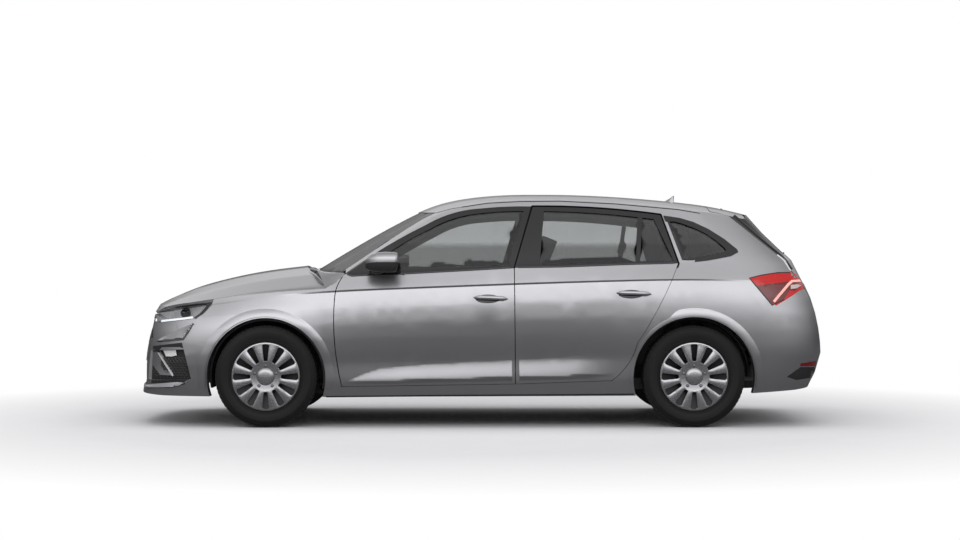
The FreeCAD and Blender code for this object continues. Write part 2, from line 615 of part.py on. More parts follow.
for k in range(bar_count):
    z = pz(bar_foot_share) + k * bar_pitch
    lower_grille = lower_grille.cut(box(front_x, nose_back_x, -bar_reach, bar_reach,
                                        z, z + bar_pitch - bar_height))
side_grille = grille_skin.common(side_intake_space).cut(fender)
save("grilles", upper_grille, lower_grille, side_grille, mirrored(side_grille))

# Rear bumper, tail lamps and tailgate
quarter_end = closed(*quarter_end_runs_share, [(0.88, 0.1), (1.03, 0.1)], [(1.03, 0.1), (1.03, 0.6)],
                     [(0.98, 0.6), (0.958, 0.574)])
rear_space = full_prism(quarter_end)
rear_bumper = outer.cut(bumper_void).common(rear_space).cut(rear_arch).cut(mirrored(rear_arch))
for space in (gate_hole, tail_lamp_space, mirrored(tail_lamp_space)):
    rear_bumper = rear_bumper.cut(space)
save("bumper_rear", rear_bumper)
lamp_split_share = 0.6
gate_lamp_inner_share = 0.28
rear_screen_start_share = 0.888
gate_depth = 60.0
gate_edge_depth = 15.0
gate_step = 16.0
gate_void = hollow_block(gate_depth)
gate = outer.cut(gate_void.common(roof_under)).common(gate_space)
rear_screen_space = end_prism(rear_screen_end_shares, px(rear_screen_start_share), -front_x + overrun)
gate = gate.cut(rear_screen_space)
gate_inner = end_prism(gate_end_shares, px(gate_start_share) - gate_step, -front_x + overrun, -gate_step)
gate = gate.cut(gate_space.cut(gate_inner).common(hollow_block(gate_edge_depth)))
gate_lamp_space = side_prism(closed(*tail_lamp_runs_share), near=-lamp_split_share * half,
                             far=-gate_lamp_inner_share * half)
gate = gate.cut(gate_lamp_space).cut(mirrored(gate_lamp_space))
save("tailgate", gate)
rear_glass = side_block({name: glass_inset for name in level_shares}, glass_group)
glass_behind = side_block({name: glass_inset + glass_thickness for name in level_shares}, glass_group)
rear_glass = rear_glass.cut(glass_behind).common(rear_screen_space)
save("tailgate_glass", rear_glass)
tail_lamp = left_outer.cut(gate_void).common(tail_lamp_space).cut(gate_hole)
save("tail_lamps", tail_lamp, mirrored(tail_lamp))
gate_lamp = left_outer.cut(gate_void).common(gate_lamp_space).common(gate_space)
save("tailgate_lamps", gate_lamp, mirrored(gate_lamp))


# Cowl below the windscreen
cowl_inset = 10.0
cowl_depth = 40.0
cowl = top_block(cabin_top_shares, crown_half_share, cowl_inset, under_strips)
cowl = cowl.cut(top_block(cabin_top_shares, crown_half_share, cowl_depth, under_strips))
cowl = cowl.common(cowl_space).common(outer).cut(bonnet_hole)
for neighbour in (frame, fender):
    cowl = cowl.cut(neighbour).cut(mirrored(neighbour))
save("cowl", cowl)

# Places of the running gear
front_wheel_y = front_track / 2
rear_wheel_y = rear_track / 2
disc_y = 20.0
arch_z = tyre_radius - arch_drop

# Floor pan: floor with its tunnel, bulkhead, load floor with its well, rails and wheel housings
floor_depth = 26.0
floor_bottom = 186.0
rear_floor_z = 397.0
floor_top = floor_bottom + floor_depth
bulkhead_share = 0.262
heel_share = 0.64
bench_floor_share = 0.718
load_floor_share = 0.96
bulkhead_top_share = 0.54
bulkhead_x = px(bulkhead_share)
heel_x = px(heel_share)
bench_floor_x = px(bench_floor_share)
load_floor_x = px(load_floor_share)
tunnel_half = 130.0
tunnel_height = 150.0
rail_y = 412.0
rail_width = 60.0
rail_bottom = 440.0
rail_height = 110.0
rail_front_share = 0.06
housing_wall = 12.0
front_housing_y = 475.0
rear_housing_y = 556.0
front_liner_drop = 70.0
well_radius = 330.0
well_share = 0.87
bracket_length = 70.0
bracket_width = 62.0
arm_top = 296.0
arm_y = 609.0
arm_front_share = 0.7
arm_front_x = px(arm_front_share)


def tub(x0, x1, y_half, z0, z1):
    """An open-topped tray's outer block over the middle of the car."""
    return box(x0, x1, -y_half, y_half, z0, z1)


floor_parts = [tub(bulkhead_x, heel_x, half, floor_bottom, floor_top),
               tub(bulkhead_x, heel_x, tunnel_half, floor_bottom, floor_bottom + tunnel_height),
               tub(bulkhead_x, bulkhead_x + floor_depth, half, floor_bottom, pz(bulkhead_top_share)),
               tub(heel_x, heel_x + floor_depth, half, floor_bottom, rear_floor_z + floor_depth),
               tub(heel_x, bench_floor_x, half, rear_floor_z, rear_floor_z + floor_depth),
               tub(bench_floor_x, load_floor_x, rear_housing_y + housing_wall, rear_floor_z,
                   rear_floor_z + floor_depth)]
well_place = V(px(well_share), 0, floor_top)
well = Part.makeCylinder(well_radius, rear_floor_z - floor_top, well_place)
floor_parts.append(well)
pan = floor_parts[0].fuse(floor_parts[1:])
pan = pan.cut(tub(bulkhead_x, heel_x + floor_depth, tunnel_half - floor_depth, 0.0,
                  floor_bottom + tunnel_height - floor_depth))
pan = pan.cut(Part.makeCylinder(well_radius - floor_depth, rear_floor_z, well_place + V(0, 0, floor_depth)))
tub_space = inner_block(side_depth + post_depth + seat_gap, frame_depth + post_depth + seat_gap,
                        side_depth, side_depth)
pan = pan.common(tub_space)
for side_y in (-half, front_housing_y):
    pan = pan.cut(Part.makeCylinder(arch_radius - housing_wall / 2, half - front_housing_y,
                                    V(axle_front, side_y, arch_z), V(0, 1, 0)))


def housing(axle, radius, inner_y, depth, drop):
    """Wheel housing: a half drum over the tyre, closed on its inner side and open below."""
    drum = Part.makeCylinder(radius, half - inner_y, V(axle, -half, arch_z), V(0, 1, 0))
    hollow = Part.makeCylinder(radius - housing_wall, half - inner_y - housing_wall, V(axle, -half, arch_z),
                               V(0, 1, 0))
    below = box(axle - radius, axle + radius, -half, -inner_y, 0.0, arch_z - drop)
    return drum.cut(hollow).cut(below).common(hollow_block(depth + seat_gap))


front_housing = housing(axle_front, arch_radius - housing_wall / 2, front_housing_y, fender_depth,
                        front_liner_drop)
rear_housing = housing(axle_rear, arch_radius, rear_housing_y, side_depth + post_depth, 0.0)
rail = box(px(rail_front_share), bulkhead_x, -rail_y - rail_width, -rail_y,
           rail_bottom, rail_bottom + rail_height)
bracket = box(arm_front_x, arm_front_x + bracket_length, -arm_y - bracket_width / 2,
              -arm_y + bracket_width / 2, arm_top + seat_gap, rear_floor_z)
for piece in (front_housing, rear_housing, rail, bracket):
    pan = pan.fuse([piece, mirrored(piece)])
save("floor_pan", pan.removeSplitter())

# Front subframe with its lower arms, and the engine that stands on it
subframe_bottom = 190.0
subframe_height = 64.0
subframe_length = 400.0
subframe_half = rail_y + rail_width
arm_tip_y = 615.0
arm_tip = 22.0
arm_root = 150.0
arm_height = 34.0
tower_length = 70.0
subframe_x = axle_front - subframe_length / 2
subframe = tub(subframe_x, subframe_x + subframe_length, subframe_half, subframe_bottom,
               subframe_bottom + subframe_height)
for x0 in (subframe_x, subframe_x + subframe_length - tower_length):
    tower = box(x0, x0 + tower_length, -subframe_half, -rail_y, subframe_bottom, rail_bottom - seat_gap)
    subframe = subframe.fuse([tower, mirrored(tower)])
arm_points = [V(axle_front - arm_root, -rail_y, subframe_bottom),
              V(axle_front - arm_tip, -arm_tip_y, subframe_bottom),
              V(axle_front + arm_tip, -arm_tip_y, subframe_bottom),
              V(axle_front + arm_root, -rail_y, subframe_bottom)]
arm = Part.Face(Part.makePolygon(arm_points + [arm_points[0]])).extrude(V(0, 0, arm_height))
save("front_subframe", subframe.fuse([arm, mirrored(arm)]).removeSplitter())
engine_length = 520.0
engine_half = 290.0
engine_height = 470.0
engine_overhang = 290.0
engine_bottom = subframe_bottom + subframe_height + seat_gap
engine = tub(subframe_x - engine_overhang, subframe_x - engine_overhang + engine_length, engine_half,
             engine_bottom, engine_bottom + engine_height)
save("engine_block", engine)

# Rear axle: a twist beam between two trailing arms, with its stubs and dampers
beam_radius = 45.0
beam_lead = 150.0
beam_x = axle_rear - beam_lead
beam_drop = 60.0
beam_z = tyre_radius - beam_drop
arm_thick = 70.0
arm_overhang = 90.0
stub_radius = 32.0
damper_radius = 24.0
damper_top = 640.0
arm_width = bracket_width
beam = Part.makeCylinder(beam_radius, 2 * arm_y, V(beam_x, -arm_y, beam_z), V(0, 1, 0))
rear_axle = beam
trailing_arm = box(arm_front_x, axle_rear + arm_overhang, -arm_y - arm_width / 2, -arm_y + arm_width / 2,
                   arm_top - arm_thick, arm_top)
stub_end_y = rear_wheel_y + disc_y - seat_gap
stub = Part.makeCylinder(stub_radius, stub_end_y - arm_y, V(axle_rear, -stub_end_y, tyre_radius), V(0, 1, 0))
damper = Part.makeCylinder(damper_radius, damper_top - beam_z,
                           V(axle_rear + arm_overhang - damper_radius, -arm_y, beam_z))
for piece in (trailing_arm, stub, damper):
    rear_axle = rear_axle.fuse([piece, mirrored(piece)])
save("rear_axle", rear_axle)

# Exhaust: a pipe under the tunnel and a silencer beside the well
pipe_radius = 26.0
pipe_drop = 8.0
pipe_bend = 160.0
silencer_length = 330.0
silencer_width = 150.0
silencer_height = 126.0
silencer_share = 0.885
silencer_y = 446.0
pipe_z = floor_bottom + tunnel_height - floor_depth - pipe_radius - pipe_drop
silencer_x = px(silencer_share)
silencer_top = rear_floor_z - seat_gap
silencer_z = silencer_top - silencer_height / 2
pipe_turn_share = 0.66
pipe_rise_share = 0.73
pipe_back_share = 0.8
pipe_side_share = 0.75
pipe_high_z = beam_z + beam_radius + pipe_drop + pipe_radius
pipe_front = V(bulkhead_x + floor_depth + seat_gap, 0, pipe_z)
pipe_turn = V(px(pipe_turn_share), 0, pipe_z)
pipe_rise = V(px(pipe_rise_share), -silencer_y * pipe_side_share, pipe_high_z)
pipe_side = V(px(pipe_back_share), -silencer_y, pipe_high_z)
pipe_end = V(silencer_x, -silencer_y, pipe_high_z)


def bent_pipe(points, radius, bend):
    """A round pipe along straight runs joined by arcs of one radius."""
    edges = []
    start = points[0]
    for before, corner, after in zip(points, points[1:], points[2:]):
        into = (corner - before).normalize()
        away = (after - corner).normalize()
        turn = into.getAngle(away)
        reach = bend * math.tan(turn / 2)
        inward = (away - into).normalize()
        middle = corner + inward * (bend / math.cos(turn / 2) - bend)
        first = corner - into * reach
        last = corner + away * reach
        edges.append(Part.makeLine(start, first))
        edges.append(Part.Arc(first, middle, last).toShape())
        start = last
    edges.append(Part.makeLine(start, points[-1]))
    ring = Part.Wire(Part.makeCircle(radius, points[0], points[1] - points[0]))
    return Part.Wire(edges).makePipeShell([ring], True, True)


pipe = bent_pipe([pipe_front, pipe_turn, pipe_rise, pipe_side, pipe_end], pipe_radius, pipe_bend)
silencer = box(silencer_x, silencer_x + silencer_length, -silencer_y - silencer_width / 2,
               -silencer_y + silencer_width / 2, silencer_top - silencer_height, silencer_top)
long_edges = [e for e in silencer.Edges if abs(e.tangentAt(0).x) > 0.5]
silencer = silencer.makeFillet(silencer_height / 4, long_edges)
save("exhaust", pipe.fuse(silencer))

# Wheels: tyre, steel wheel and cover, in profiles of radius and distance outward from the centre
def turned(profile, centre, side):
    """Turns a closed profile about the wheel's axis; side is -1 for the left of the car."""
    points = [V(centre.x, centre.y + side * y, centre.z + r) for r, y in profile]
    face = Part.Face(Part.makePolygon(points + [points[0]]))
    solid = face.revolve(centre, V(0, 1, 0), 360)
    solid = Part.Solid(solid.Shells[0])
    if solid.Volume < 0:
        solid.reverse()
    return solid


tread_half = 88.0
bulge_radius = 276.0
tyre_half = tyre_width / 2
rim_half = rim_width / 2
disc_wall = 8.0
cover_y = rim_half + seat_gap
cover_wall = 5.0
cover_dish = 9.0
cover_radius = rim_radius
plateau_radius = 84.0
plateau_slope = 5.0
hub_cap_radius = 53.0
hub_cap_rise = 12.0
cover_slot_count = 12
slot_inner = 92.0
slot_outer = 201.0
slot_inner_width = 22.0
slot_outer_width = 46.0


def tyre(centre, side):
    edge = [(tyre_radius, tread_half), (bulge_radius, tyre_half),
            (rim_radius + seat_gap, rim_half + seat_gap)]
    return turned(edge + [(r, -y) for r, y in reversed(edge)], centre, side)


def steel_wheel(centre, side):
    """Barrel and dished disc of the wheel, open inboard of the disc."""
    inner = rim_radius - rim_wall
    profile = [(rim_radius, -rim_half), (rim_radius, rim_half), (0.0, disc_y + disc_wall), (0.0, disc_y),
               (inner, disc_y), (inner, -rim_half)]
    return turned(profile, centre, side)


def wheel_cover(centre, side):
    """A shallow dish with twelve slots and a domed cap, set over the wheel's outer side."""
    front = cover_y + cover_wall
    profile = [(0.0, front + cover_dish + hub_cap_rise), (hub_cap_radius, front + cover_dish),
               (plateau_radius, front + cover_dish), (plateau_radius + plateau_slope, front),
               (cover_radius, front), (cover_radius, cover_y), (0.0, cover_y)]
    cover = turned(profile, centre, side)
    for k in range(cover_slot_count):
        points = [V(centre.x + sx * w / 2, centre.y, centre.z + r) for sx, w, r in
                  ((-1, slot_inner_width, slot_inner), (-1, slot_outer_width, slot_outer),
                   (1, slot_outer_width, slot_outer), (1, slot_inner_width, slot_inner))]
        slot = Part.Face(Part.makePolygon(points + [points[0]])).extrude(V(0, side * tyre_width, 0))
        slot.rotate(centre, V(0, 1, 0), 360.0 * k / cover_slot_count)
        cover = cover.cut(slot)
    return cover


for end, axle, wheel_y in (("front", axle_front, front_wheel_y), ("rear", axle_rear, rear_wheel_y)):
    for name, side in (("left", -1), ("right", 1)):
        centre = V(axle, side * wheel_y, tyre_radius)
        save("tyre_" + end + "_" + name, tyre(centre, side))
        save("wheel_" + end + "_" + name, steel_wheel(centre, side))
        save("cover_" + end + "_" + name, wheel_cover(centre, side))

# Knuckles: the upright with its stub, strut and lower boss, which turn with the steered wheel
strut_y = 600.0
strut_radius = 26.0
strut_top = 636.0
upright_width = 96.0
upright_bottom = subframe_bottom + arm_height + seat_gap
upright_top = 400.0
upright_inner = 574.0
upright_outer = 650.0
knuckle = box(axle_front - upright_width / 2, axle_front + upright_width / 2, -upright_outer, -upright_inner,
              upright_bottom, upright_top)
knuckle_end_y = front_wheel_y + disc_y - seat_gap
knuckle_stub = Part.makeCylinder(stub_radius, knuckle_end_y - upright_inner,
                                 V(axle_front, -knuckle_end_y, tyre_radius), V(0, 1, 0))
strut = Part.makeCylinder(strut_radius, strut_top - upright_bottom, V(axle_front, -strut_y, upright_bottom))
knuckle = knuckle.fuse([knuckle_stub, strut])
save("knuckle_left", knuckle)
save("knuckle_right", mirrored(knuckle))

# Dashboard and steering wheel
dash_front_share = 0.266
dash_runs_share = closed([(dash_front_share, 0.45), (dash_front_share, 0.635)],
                         [(dash_front_share, 0.635), (0.31, 0.662), (0.35, 0.648)],
                         [(0.35, 0.648), (0.362, 0.6), (0.345, 0.52)], [(0.345, 0.52), (0.318, 0.45)])
dash_half_share = 0.72
dash = side_prism(dash_runs_share, near=-dash_half_share * half, far=dash_half_share * half)
dash = dash.common(tub_space).cut(pan)
dash = dash.common(top_block(cabin_top_shares, crown_half_share, cowl_depth + housing_wall, glass_strips))
save("dashboard", dash)
ring_radius = 182.0
ring_grip = 15.0
hand_wheel_share = (0.392, 0.61)
hand_wheel_y = 0.42
hand_tilt = 24.0
hub_radius = 62.0
hub_depth = 46.0
column_radius = 24.0
column_length = 260.0
spoke_width = 34.0
grip_sides = 6
hand_centre = V(px(hand_wheel_share[0]), -hand_wheel_y * half, pz(hand_wheel_share[1]))
grip_points = [(ring_radius + ring_grip * math.cos(2 * math.pi * k / grip_sides),
                ring_grip * math.sin(2 * math.pi * k / grip_sides)) for k in range(grip_sides)]
hand_wheel = turned(grip_points, hand_centre, 1)
hand_hub = Part.makeCylinder(hub_radius, hub_depth, hand_centre - V(0, hub_depth / 2, 0), V(0, 1, 0))
spoke = box(hand_centre.x - spoke_width / 2, hand_centre.x + spoke_width / 2, hand_centre.y - ring_grip / 2,
            hand_centre.y + ring_grip / 2, hand_centre.z - ring_radius, hand_centre.z + ring_radius)
column = Part.makeCylinder(column_radius, column_length, hand_centre, V(0, -1, 0))
hand_wheel = hand_wheel.fuse([hand_hub, spoke, column])
hand_wheel.rotate(hand_centre, V(1, 0, 0), 90.0)
hand_wheel.rotate(hand_centre, V(0, 1, 0), 90.0 - hand_tilt)
save("steering_wheel", hand_wheel.cut(dash))

# Seats: cushion, reclined back and head restraints on one frame
seat_width = 510.0
cushion_length = 500.0
cushion_height = 150.0
back_length = 590.0
back_depth = 130.0
seat_frame_width = 380.0
seat_frame_length = 320.0
head_width = 260.0
head_height = 180.0
head_depth = 100.0
head_gap = 60.0
rod_width = 140.0
rod_depth = 16.0
recline = 22.0
front_seat_share = 0.437
front_seat_y = 372.0
front_seat_z = 350.0
bench_share = 0.648
bench_width = 1090.0
bench_head_pitch = 370.0
bench_z = rear_floor_z + floor_depth + seat_gap
rear_recline = 26.0


def seat(centre_y, wide, x0, z0, lean, head_places):
    cushion = box(x0, x0 + cushion_length, centre_y - wide / 2, centre_y + wide / 2, z0, z0 + cushion_height)
    back = box(0, back_depth, centre_y - wide / 2, centre_y + wide / 2, 0, back_length)
    for place in head_places:
        y = centre_y + place
        rod = box((back_depth - rod_depth) / 2, (back_depth + rod_depth) / 2, y - rod_width / 2,
                  y + rod_width / 2, back_length - rod_depth, back_length + head_gap + rod_depth)
        head = box(0, head_depth, y - head_width / 2, y + head_width / 2, back_length + head_gap,
                   back_length + head_gap + head_height)
        back = back.fuse([rod, head])
    back.rotate(V(0, 0, 0), V(0, 1, 0), lean)
    back.translate(V(x0 + cushion_length - back_depth, 0, z0 + cushion_height / 2))
    return cushion.fuse(back)


seat_x = px(front_seat_share)
front_seat = seat(-front_seat_y, seat_width, seat_x, front_seat_z, recline, [0.0])
seat_frame_x = seat_x + (cushion_length - seat_frame_length) / 2
seat_frame = box(seat_frame_x, seat_frame_x + seat_frame_length, -front_seat_y - seat_frame_width / 2,
                 -front_seat_y + seat_frame_width / 2, floor_top + seat_gap, front_seat_z)
front_seat = front_seat.fuse(seat_frame)
bench_heads = [-bench_head_pitch, 0.0, bench_head_pitch]
bench = seat(0.0, bench_width, px(bench_share), bench_z, rear_recline, bench_heads)
below_bench = tub(px(bench_share), -front_x, half, 0.0, bench_z)
save("seats", front_seat, mirrored(front_seat), bench.cut(below_bench))

# Door mirrors, each a shell on a short arm fixed at the front corner of the window
mirror_start_share = 0.3382
mirror_end_share = 0.386
mirror_top_share = 0.742
mirror_bottom_share = 0.644
mirror_reach = 995.0
mirror_inner = 838.0
mirror_round = 40.0
mirror_arm_inner = 790.0
mirror_arm_shares = [(0.345, 0.66), (0.366, 0.668)]
mirror = box(px(mirror_start_share), px(mirror_end_share), -mirror_reach, -mirror_inner,
             pz(mirror_bottom_share), pz(mirror_top_share))
mirror = mirror.makeChamfer(mirror_round, mirror.Edges)
(arm_x0, arm_z0), (arm_x1, arm_z1) = mirror_arm_shares
mirror_arm = box(px(arm_x0), px(arm_x1), -mirror_inner - mirror_round, -mirror_arm_inner,
                 pz(arm_z0), pz(arm_z1))
mirror = mirror.fuse(mirror_arm).cut(door_front)
mirror = [solid for solid in mirror.Solids if solid.BoundBox.YMin < -mirror_inner][:1]
save("mirror_left", mirror[0])
save("mirror_right", mirrored(mirror[0]))
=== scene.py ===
import json
import math
import bpy
import bmesh
import numpy as np
from mathutils import Matrix, Vector
from mathutils.bvhtree import BVHTree
from mathutils.geometry import delaunay_2d_cdt
from mathutils.kdtree import KDTree

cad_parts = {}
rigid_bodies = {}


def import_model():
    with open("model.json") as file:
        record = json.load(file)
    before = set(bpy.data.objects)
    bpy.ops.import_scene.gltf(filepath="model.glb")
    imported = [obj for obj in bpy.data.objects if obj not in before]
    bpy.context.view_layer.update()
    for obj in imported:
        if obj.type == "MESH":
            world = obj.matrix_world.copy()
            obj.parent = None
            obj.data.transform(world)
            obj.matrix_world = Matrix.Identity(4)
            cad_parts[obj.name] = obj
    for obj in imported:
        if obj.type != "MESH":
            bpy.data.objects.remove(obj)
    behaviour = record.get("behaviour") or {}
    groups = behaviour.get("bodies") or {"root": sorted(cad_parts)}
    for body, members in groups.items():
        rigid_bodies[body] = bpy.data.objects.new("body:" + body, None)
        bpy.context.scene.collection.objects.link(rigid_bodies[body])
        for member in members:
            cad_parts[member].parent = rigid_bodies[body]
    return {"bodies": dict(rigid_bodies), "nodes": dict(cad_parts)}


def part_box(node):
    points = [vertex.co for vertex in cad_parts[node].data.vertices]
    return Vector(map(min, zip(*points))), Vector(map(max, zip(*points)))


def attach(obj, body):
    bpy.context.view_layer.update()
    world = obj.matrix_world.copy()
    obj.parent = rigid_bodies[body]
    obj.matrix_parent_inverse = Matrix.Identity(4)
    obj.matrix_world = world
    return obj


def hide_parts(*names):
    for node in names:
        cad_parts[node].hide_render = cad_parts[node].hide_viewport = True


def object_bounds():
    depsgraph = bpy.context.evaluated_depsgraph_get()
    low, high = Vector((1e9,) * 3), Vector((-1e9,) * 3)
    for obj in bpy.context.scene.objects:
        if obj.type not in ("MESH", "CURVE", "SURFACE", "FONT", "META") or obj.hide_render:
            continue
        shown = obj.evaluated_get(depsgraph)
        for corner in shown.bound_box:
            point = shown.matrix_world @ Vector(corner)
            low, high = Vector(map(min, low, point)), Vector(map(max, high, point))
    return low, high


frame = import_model()
low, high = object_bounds()

# Camera, floor and light
# The camera stands level, twelve metres from the left side. A pale floor, seen from above only, fades into
# white. Reflections see a sky that is bright halfway up and dims towards the ends of the car and behind it.
# One soft light hangs over the roof, and a weaker one above the left side.
scene = bpy.context.scene
camera_data = bpy.data.cameras.new("camera")
camera_data.lens = 73.05
camera_data.clip_end = 200
camera = bpy.data.objects.new("camera", camera_data)
camera.location = (0.0055, -12.9, 0.975)
camera.rotation_euler = (math.radians(90), 0, 0)
scene.collection.objects.link(camera)
scene.camera = camera
scene.view_settings.view_transform = "Standard"
scene.view_settings.look = "None"


def wired(tree, kinds, settings, wires):
    """Adds named nodes to a tree, sets their sockets and joins them, and returns all nodes by name.

    A kind is a node's type after "ShaderNode", and may be followed by its operation or data type.
    """
    for name, kind in kinds.items():
        kind, _, mode = kind.partition(" ")
        node = tree.nodes.new("ShaderNode" + kind)
        node.name = name
        if kind == "Mix":
            node.data_type = mode
        elif mode:
            node.operation = mode
    for name, socket, value in settings:
        tree.nodes[name].inputs[socket].default_value = value
    for start, out, end, into in wires:
        tree.links.new(tree.nodes[start].outputs[out], tree.nodes[end].inputs[into])
    return tree.nodes


def surface(name, colour, shade, grain, rough, metal=0.0, coat=0.0, bump=0.0, rough_spread=0.06):
    """A material whose colour and roughness vary with a fine noise in object coordinates."""
    material = bpy.data.materials.new(name)
    material.use_nodes = True
    shader = "Principled BSDF"
    wired(material.node_tree,
          {"place": "TexCoord", "noise": "TexNoise", "mix": "Mix RGBA", "spread": "MapRange"},
          [("noise", "Scale", grain), ("noise", "Detail", 3),
           ("mix", 6, (*colour, 1)), ("mix", 7, (*shade, 1)),
           ("spread", "To Min", max(0.0, rough - rough_spread)), ("spread", "To Max", rough + rough_spread),
           (shader, "Metallic", metal), (shader, "Coat Weight", coat), (shader, "Coat Roughness", 0.04)],
          [("place", "Object", "noise", "Vector"), ("noise", "Fac", "mix", 0),
           ("noise", "Fac", "spread", "Value"), ("mix", 2, shader, "Base Color"),
           ("spread", "Result", shader, "Roughness")])
    if bump:
        wired(material.node_tree, {"relief": "Bump"},
              [("relief", "Strength", bump), ("relief", "Distance", 0.001)],
              [("noise", "Fac", "relief", "Height"), ("relief", "Normal", shader, "Normal")])
    return material


floor_half = 30.0
fade_start, fade_end = 2.6, 4.5
floor_mesh = bpy.data.meshes.new("floor")
floor_mesh.from_pydata([(-floor_half, -floor_half, 0), (floor_half, -floor_half, 0),
                        (floor_half, floor_half, 0), (-floor_half, floor_half, 0)], [], [(0, 1, 2, 3)])
floor = bpy.data.objects.new("floor", floor_mesh)
scene.collection.objects.link(floor)
floor_paint = surface("floor_pale", (0.86, 0.86, 0.87), (0.82, 0.82, 0.83), grain=3, rough=0.9)
wired(floor_paint.node_tree,
      {"white": "Emission", "reflected": "Emission", "spot": "TexCoord", "reach": "VectorMath LENGTH",
       "fade": "MapRange", "paper": "MixShader", "rays": "LightPath", "swap": "MixShader",
       "side": "NewGeometry", "from_below": "BsdfTransparent", "one_sided": "MixShader"},
      [("white", "Color", (1, 1, 1, 1)), ("reflected", "Color", (0.075, 0.075, 0.08, 1)),
       ("fade", "From Min", fade_start), ("fade", "From Max", fade_end)],
      [("spot", "Object", "reach", 0), ("reach", "Value", "fade", "Value"),
       ("fade", "Result", "paper", "Fac"), ("Principled BSDF", "BSDF", "paper", 1),
       ("white", "Emission", "paper", 2), ("rays", "Is Glossy Ray", "swap", "Fac"),
       ("paper", "Shader", "swap", 1), ("reflected", "Emission", "swap", 2),
       ("side", "Backfacing", "one_sided", "Fac"), ("swap", "Shader", "one_sided", 1),
       ("from_below", "BSDF", "one_sided", 2), ("one_sided", "Shader", "Material Output", "Surface")])
floor_mesh.materials.append(floor_paint)

world = bpy.data.worlds.new("studio")
scene.world = world
world.use_nodes = True
sky = wired(world.node_tree,
            {"mirrored_sky": "Background", "direction": "TexCoord", "split": "SeparateXYZ",
             "height": "MapRange", "ramp": "ValToRGB", "sideways": "Math ABSOLUTE", "ends": "MapRange",
             "behind": "MapRange", "both_ways": "Math MULTIPLY", "darker": "VectorMath SCALE",
             "rays": "LightPath", "seen_plain": "Math MAXIMUM", "swap": "MixShader"},
            [("Background", "Color", (1, 1, 1, 1)), ("Background", "Strength", 1.0),
             ("mirrored_sky", "Strength", 1.6), ("height", "From Min", -1), ("height", "From Max", 1),
             ("ends", "From Min", 0.35), ("ends", "From Max", 0.95),
             ("ends", "To Min", 1.0), ("ends", "To Max", 0.30),
             ("behind", "From Min", -0.25), ("behind", "From Max", 0.55),
             ("behind", "To Min", 1.12), ("behind", "To Max", 0.46)],
            [("direction", "Generated", "split", "Vector"), ("split", "Z", "height", "Value"),
             ("height", "Result", "ramp", "Fac"), ("split", "X", "sideways", 0),
             ("sideways", "Value", "ends", "Value"), ("split", "Y", "behind", "Value"),
             ("ends", "Result", "both_ways", 0), ("behind", "Result", "both_ways", 1),
             ("ramp", "Color", "darker", 0), ("both_ways", "Value", "darker", "Scale"),
             ("darker", "Vector", "mirrored_sky", "Color"), ("rays", "Is Camera Ray", "seen_plain", 0),
             ("rays", "Is Transmission Ray", "seen_plain", 1), ("seen_plain", "Value", "swap", "Fac"),
             ("mirrored_sky", "Background", "swap", 1), ("Background", "Background", "swap", 2),
             ("swap", "Shader", "World Output", "Surface")])
sky_stops = sky["ramp"].color_ramp.elements
sky_stops[0].position = 0.48
sky_stops[0].color = (0.055, 0.055, 0.057, 1)
sky_stops[1].position = 1.0
sky_stops[1].color = (0.30, 0.30, 0.304, 1)
for share_of_height, tone in ((0.505, 0.08), (0.545, 0.20), (0.60, 0.50), (0.66, 0.90), (0.72, 0.95),
                              (0.80, 0.62), (0.88, 0.42)):
    stop = sky_stops.new(share_of_height)
    stop.color = (tone, tone, tone * 1.02, 1)

for name, place, tilt, length, depth, watts in (("overhead", (0, 0, 6.5), 0, 9, 5, 220),
                                                ("side_high", (0, -7.0, 4.6), 58, 10, 1.6, 70)):
    data = bpy.data.lights.new(name, "AREA")
    data.shape = "RECTANGLE"
    data.size, data.size_y, data.energy = length, depth, watts
    light = bpy.data.objects.new(name, data)
    light.location = place
    light.rotation_euler = (math.radians(tilt), 0, 0)
    light.visible_glossy = False
    scene.collection.objects.link(light)

# Painted panels
# The body and its doors are pressed steel sheet under silver metallic paint and clear lacquer. Each panel is
# a copy of its solid with short facets. Its corners take normals smoothed along the whole outer skin, so
# that the panels shade as one surface and keep their creases.
longest_edge = 0.09
merge_reach = 2e-5
smooth_reach, smooth_spread = 0.055, 0.0275
alike_spread = 0.03
paint = surface("silver_paint", (0.50, 0.50, 0.515), (0.60, 0.60, 0.615),
                grain=900, rough=0.30, metal=0.92, coat=1.0)
black_gloss = surface("black_gloss", (0.006, 0.006, 0.007), (0.010, 0.010, 0.011),
                      grain=60, rough=0.12, coat=0.5)
black_matt = surface("black_matt", (0.014, 0.014, 0.015), (0.022, 0.022, 0.023),
                     grain=500, rough=0.55, bump=0.2)
painted = ["body_sides", "bonnet", "bumper_front", "bumper_rear", "door_front_left", "door_front_right",
           "door_rear_left", "door_rear_right", "fenders", "roof_panel", "tailgate"]
body_of_node = {name: next(body for body, empty in frame["bodies"].items() if empty == node.parent)
                for name, node in frame["nodes"].items()}


def copied(node):
    """A merged copy of a CAD node's mesh with its long edges divided."""
    form = bmesh.new()
    form.from_mesh(frame["nodes"][node].data)
    bmesh.ops.remove_doubles(form, verts=form.verts, dist=merge_reach)
    for _ in range(4):
        long_edges = [e for e in form.edges if e.calc_length() > longest_edge]
        if not long_edges:
            break
        bmesh.ops.subdivide_edges(form, edges=long_edges, cuts=1)
    bmesh.ops.triangulate(form, faces=form.faces)
    mesh = bpy.data.meshes.new(node + "_skin")
    form.to_mesh(mesh)
    form.free()
    return mesh


def dressed(mesh, *materials):
    """The mesh with these materials and no others."""
    mesh.materials.clear()
    for material in materials:
        mesh.materials.append(material)
    return mesh


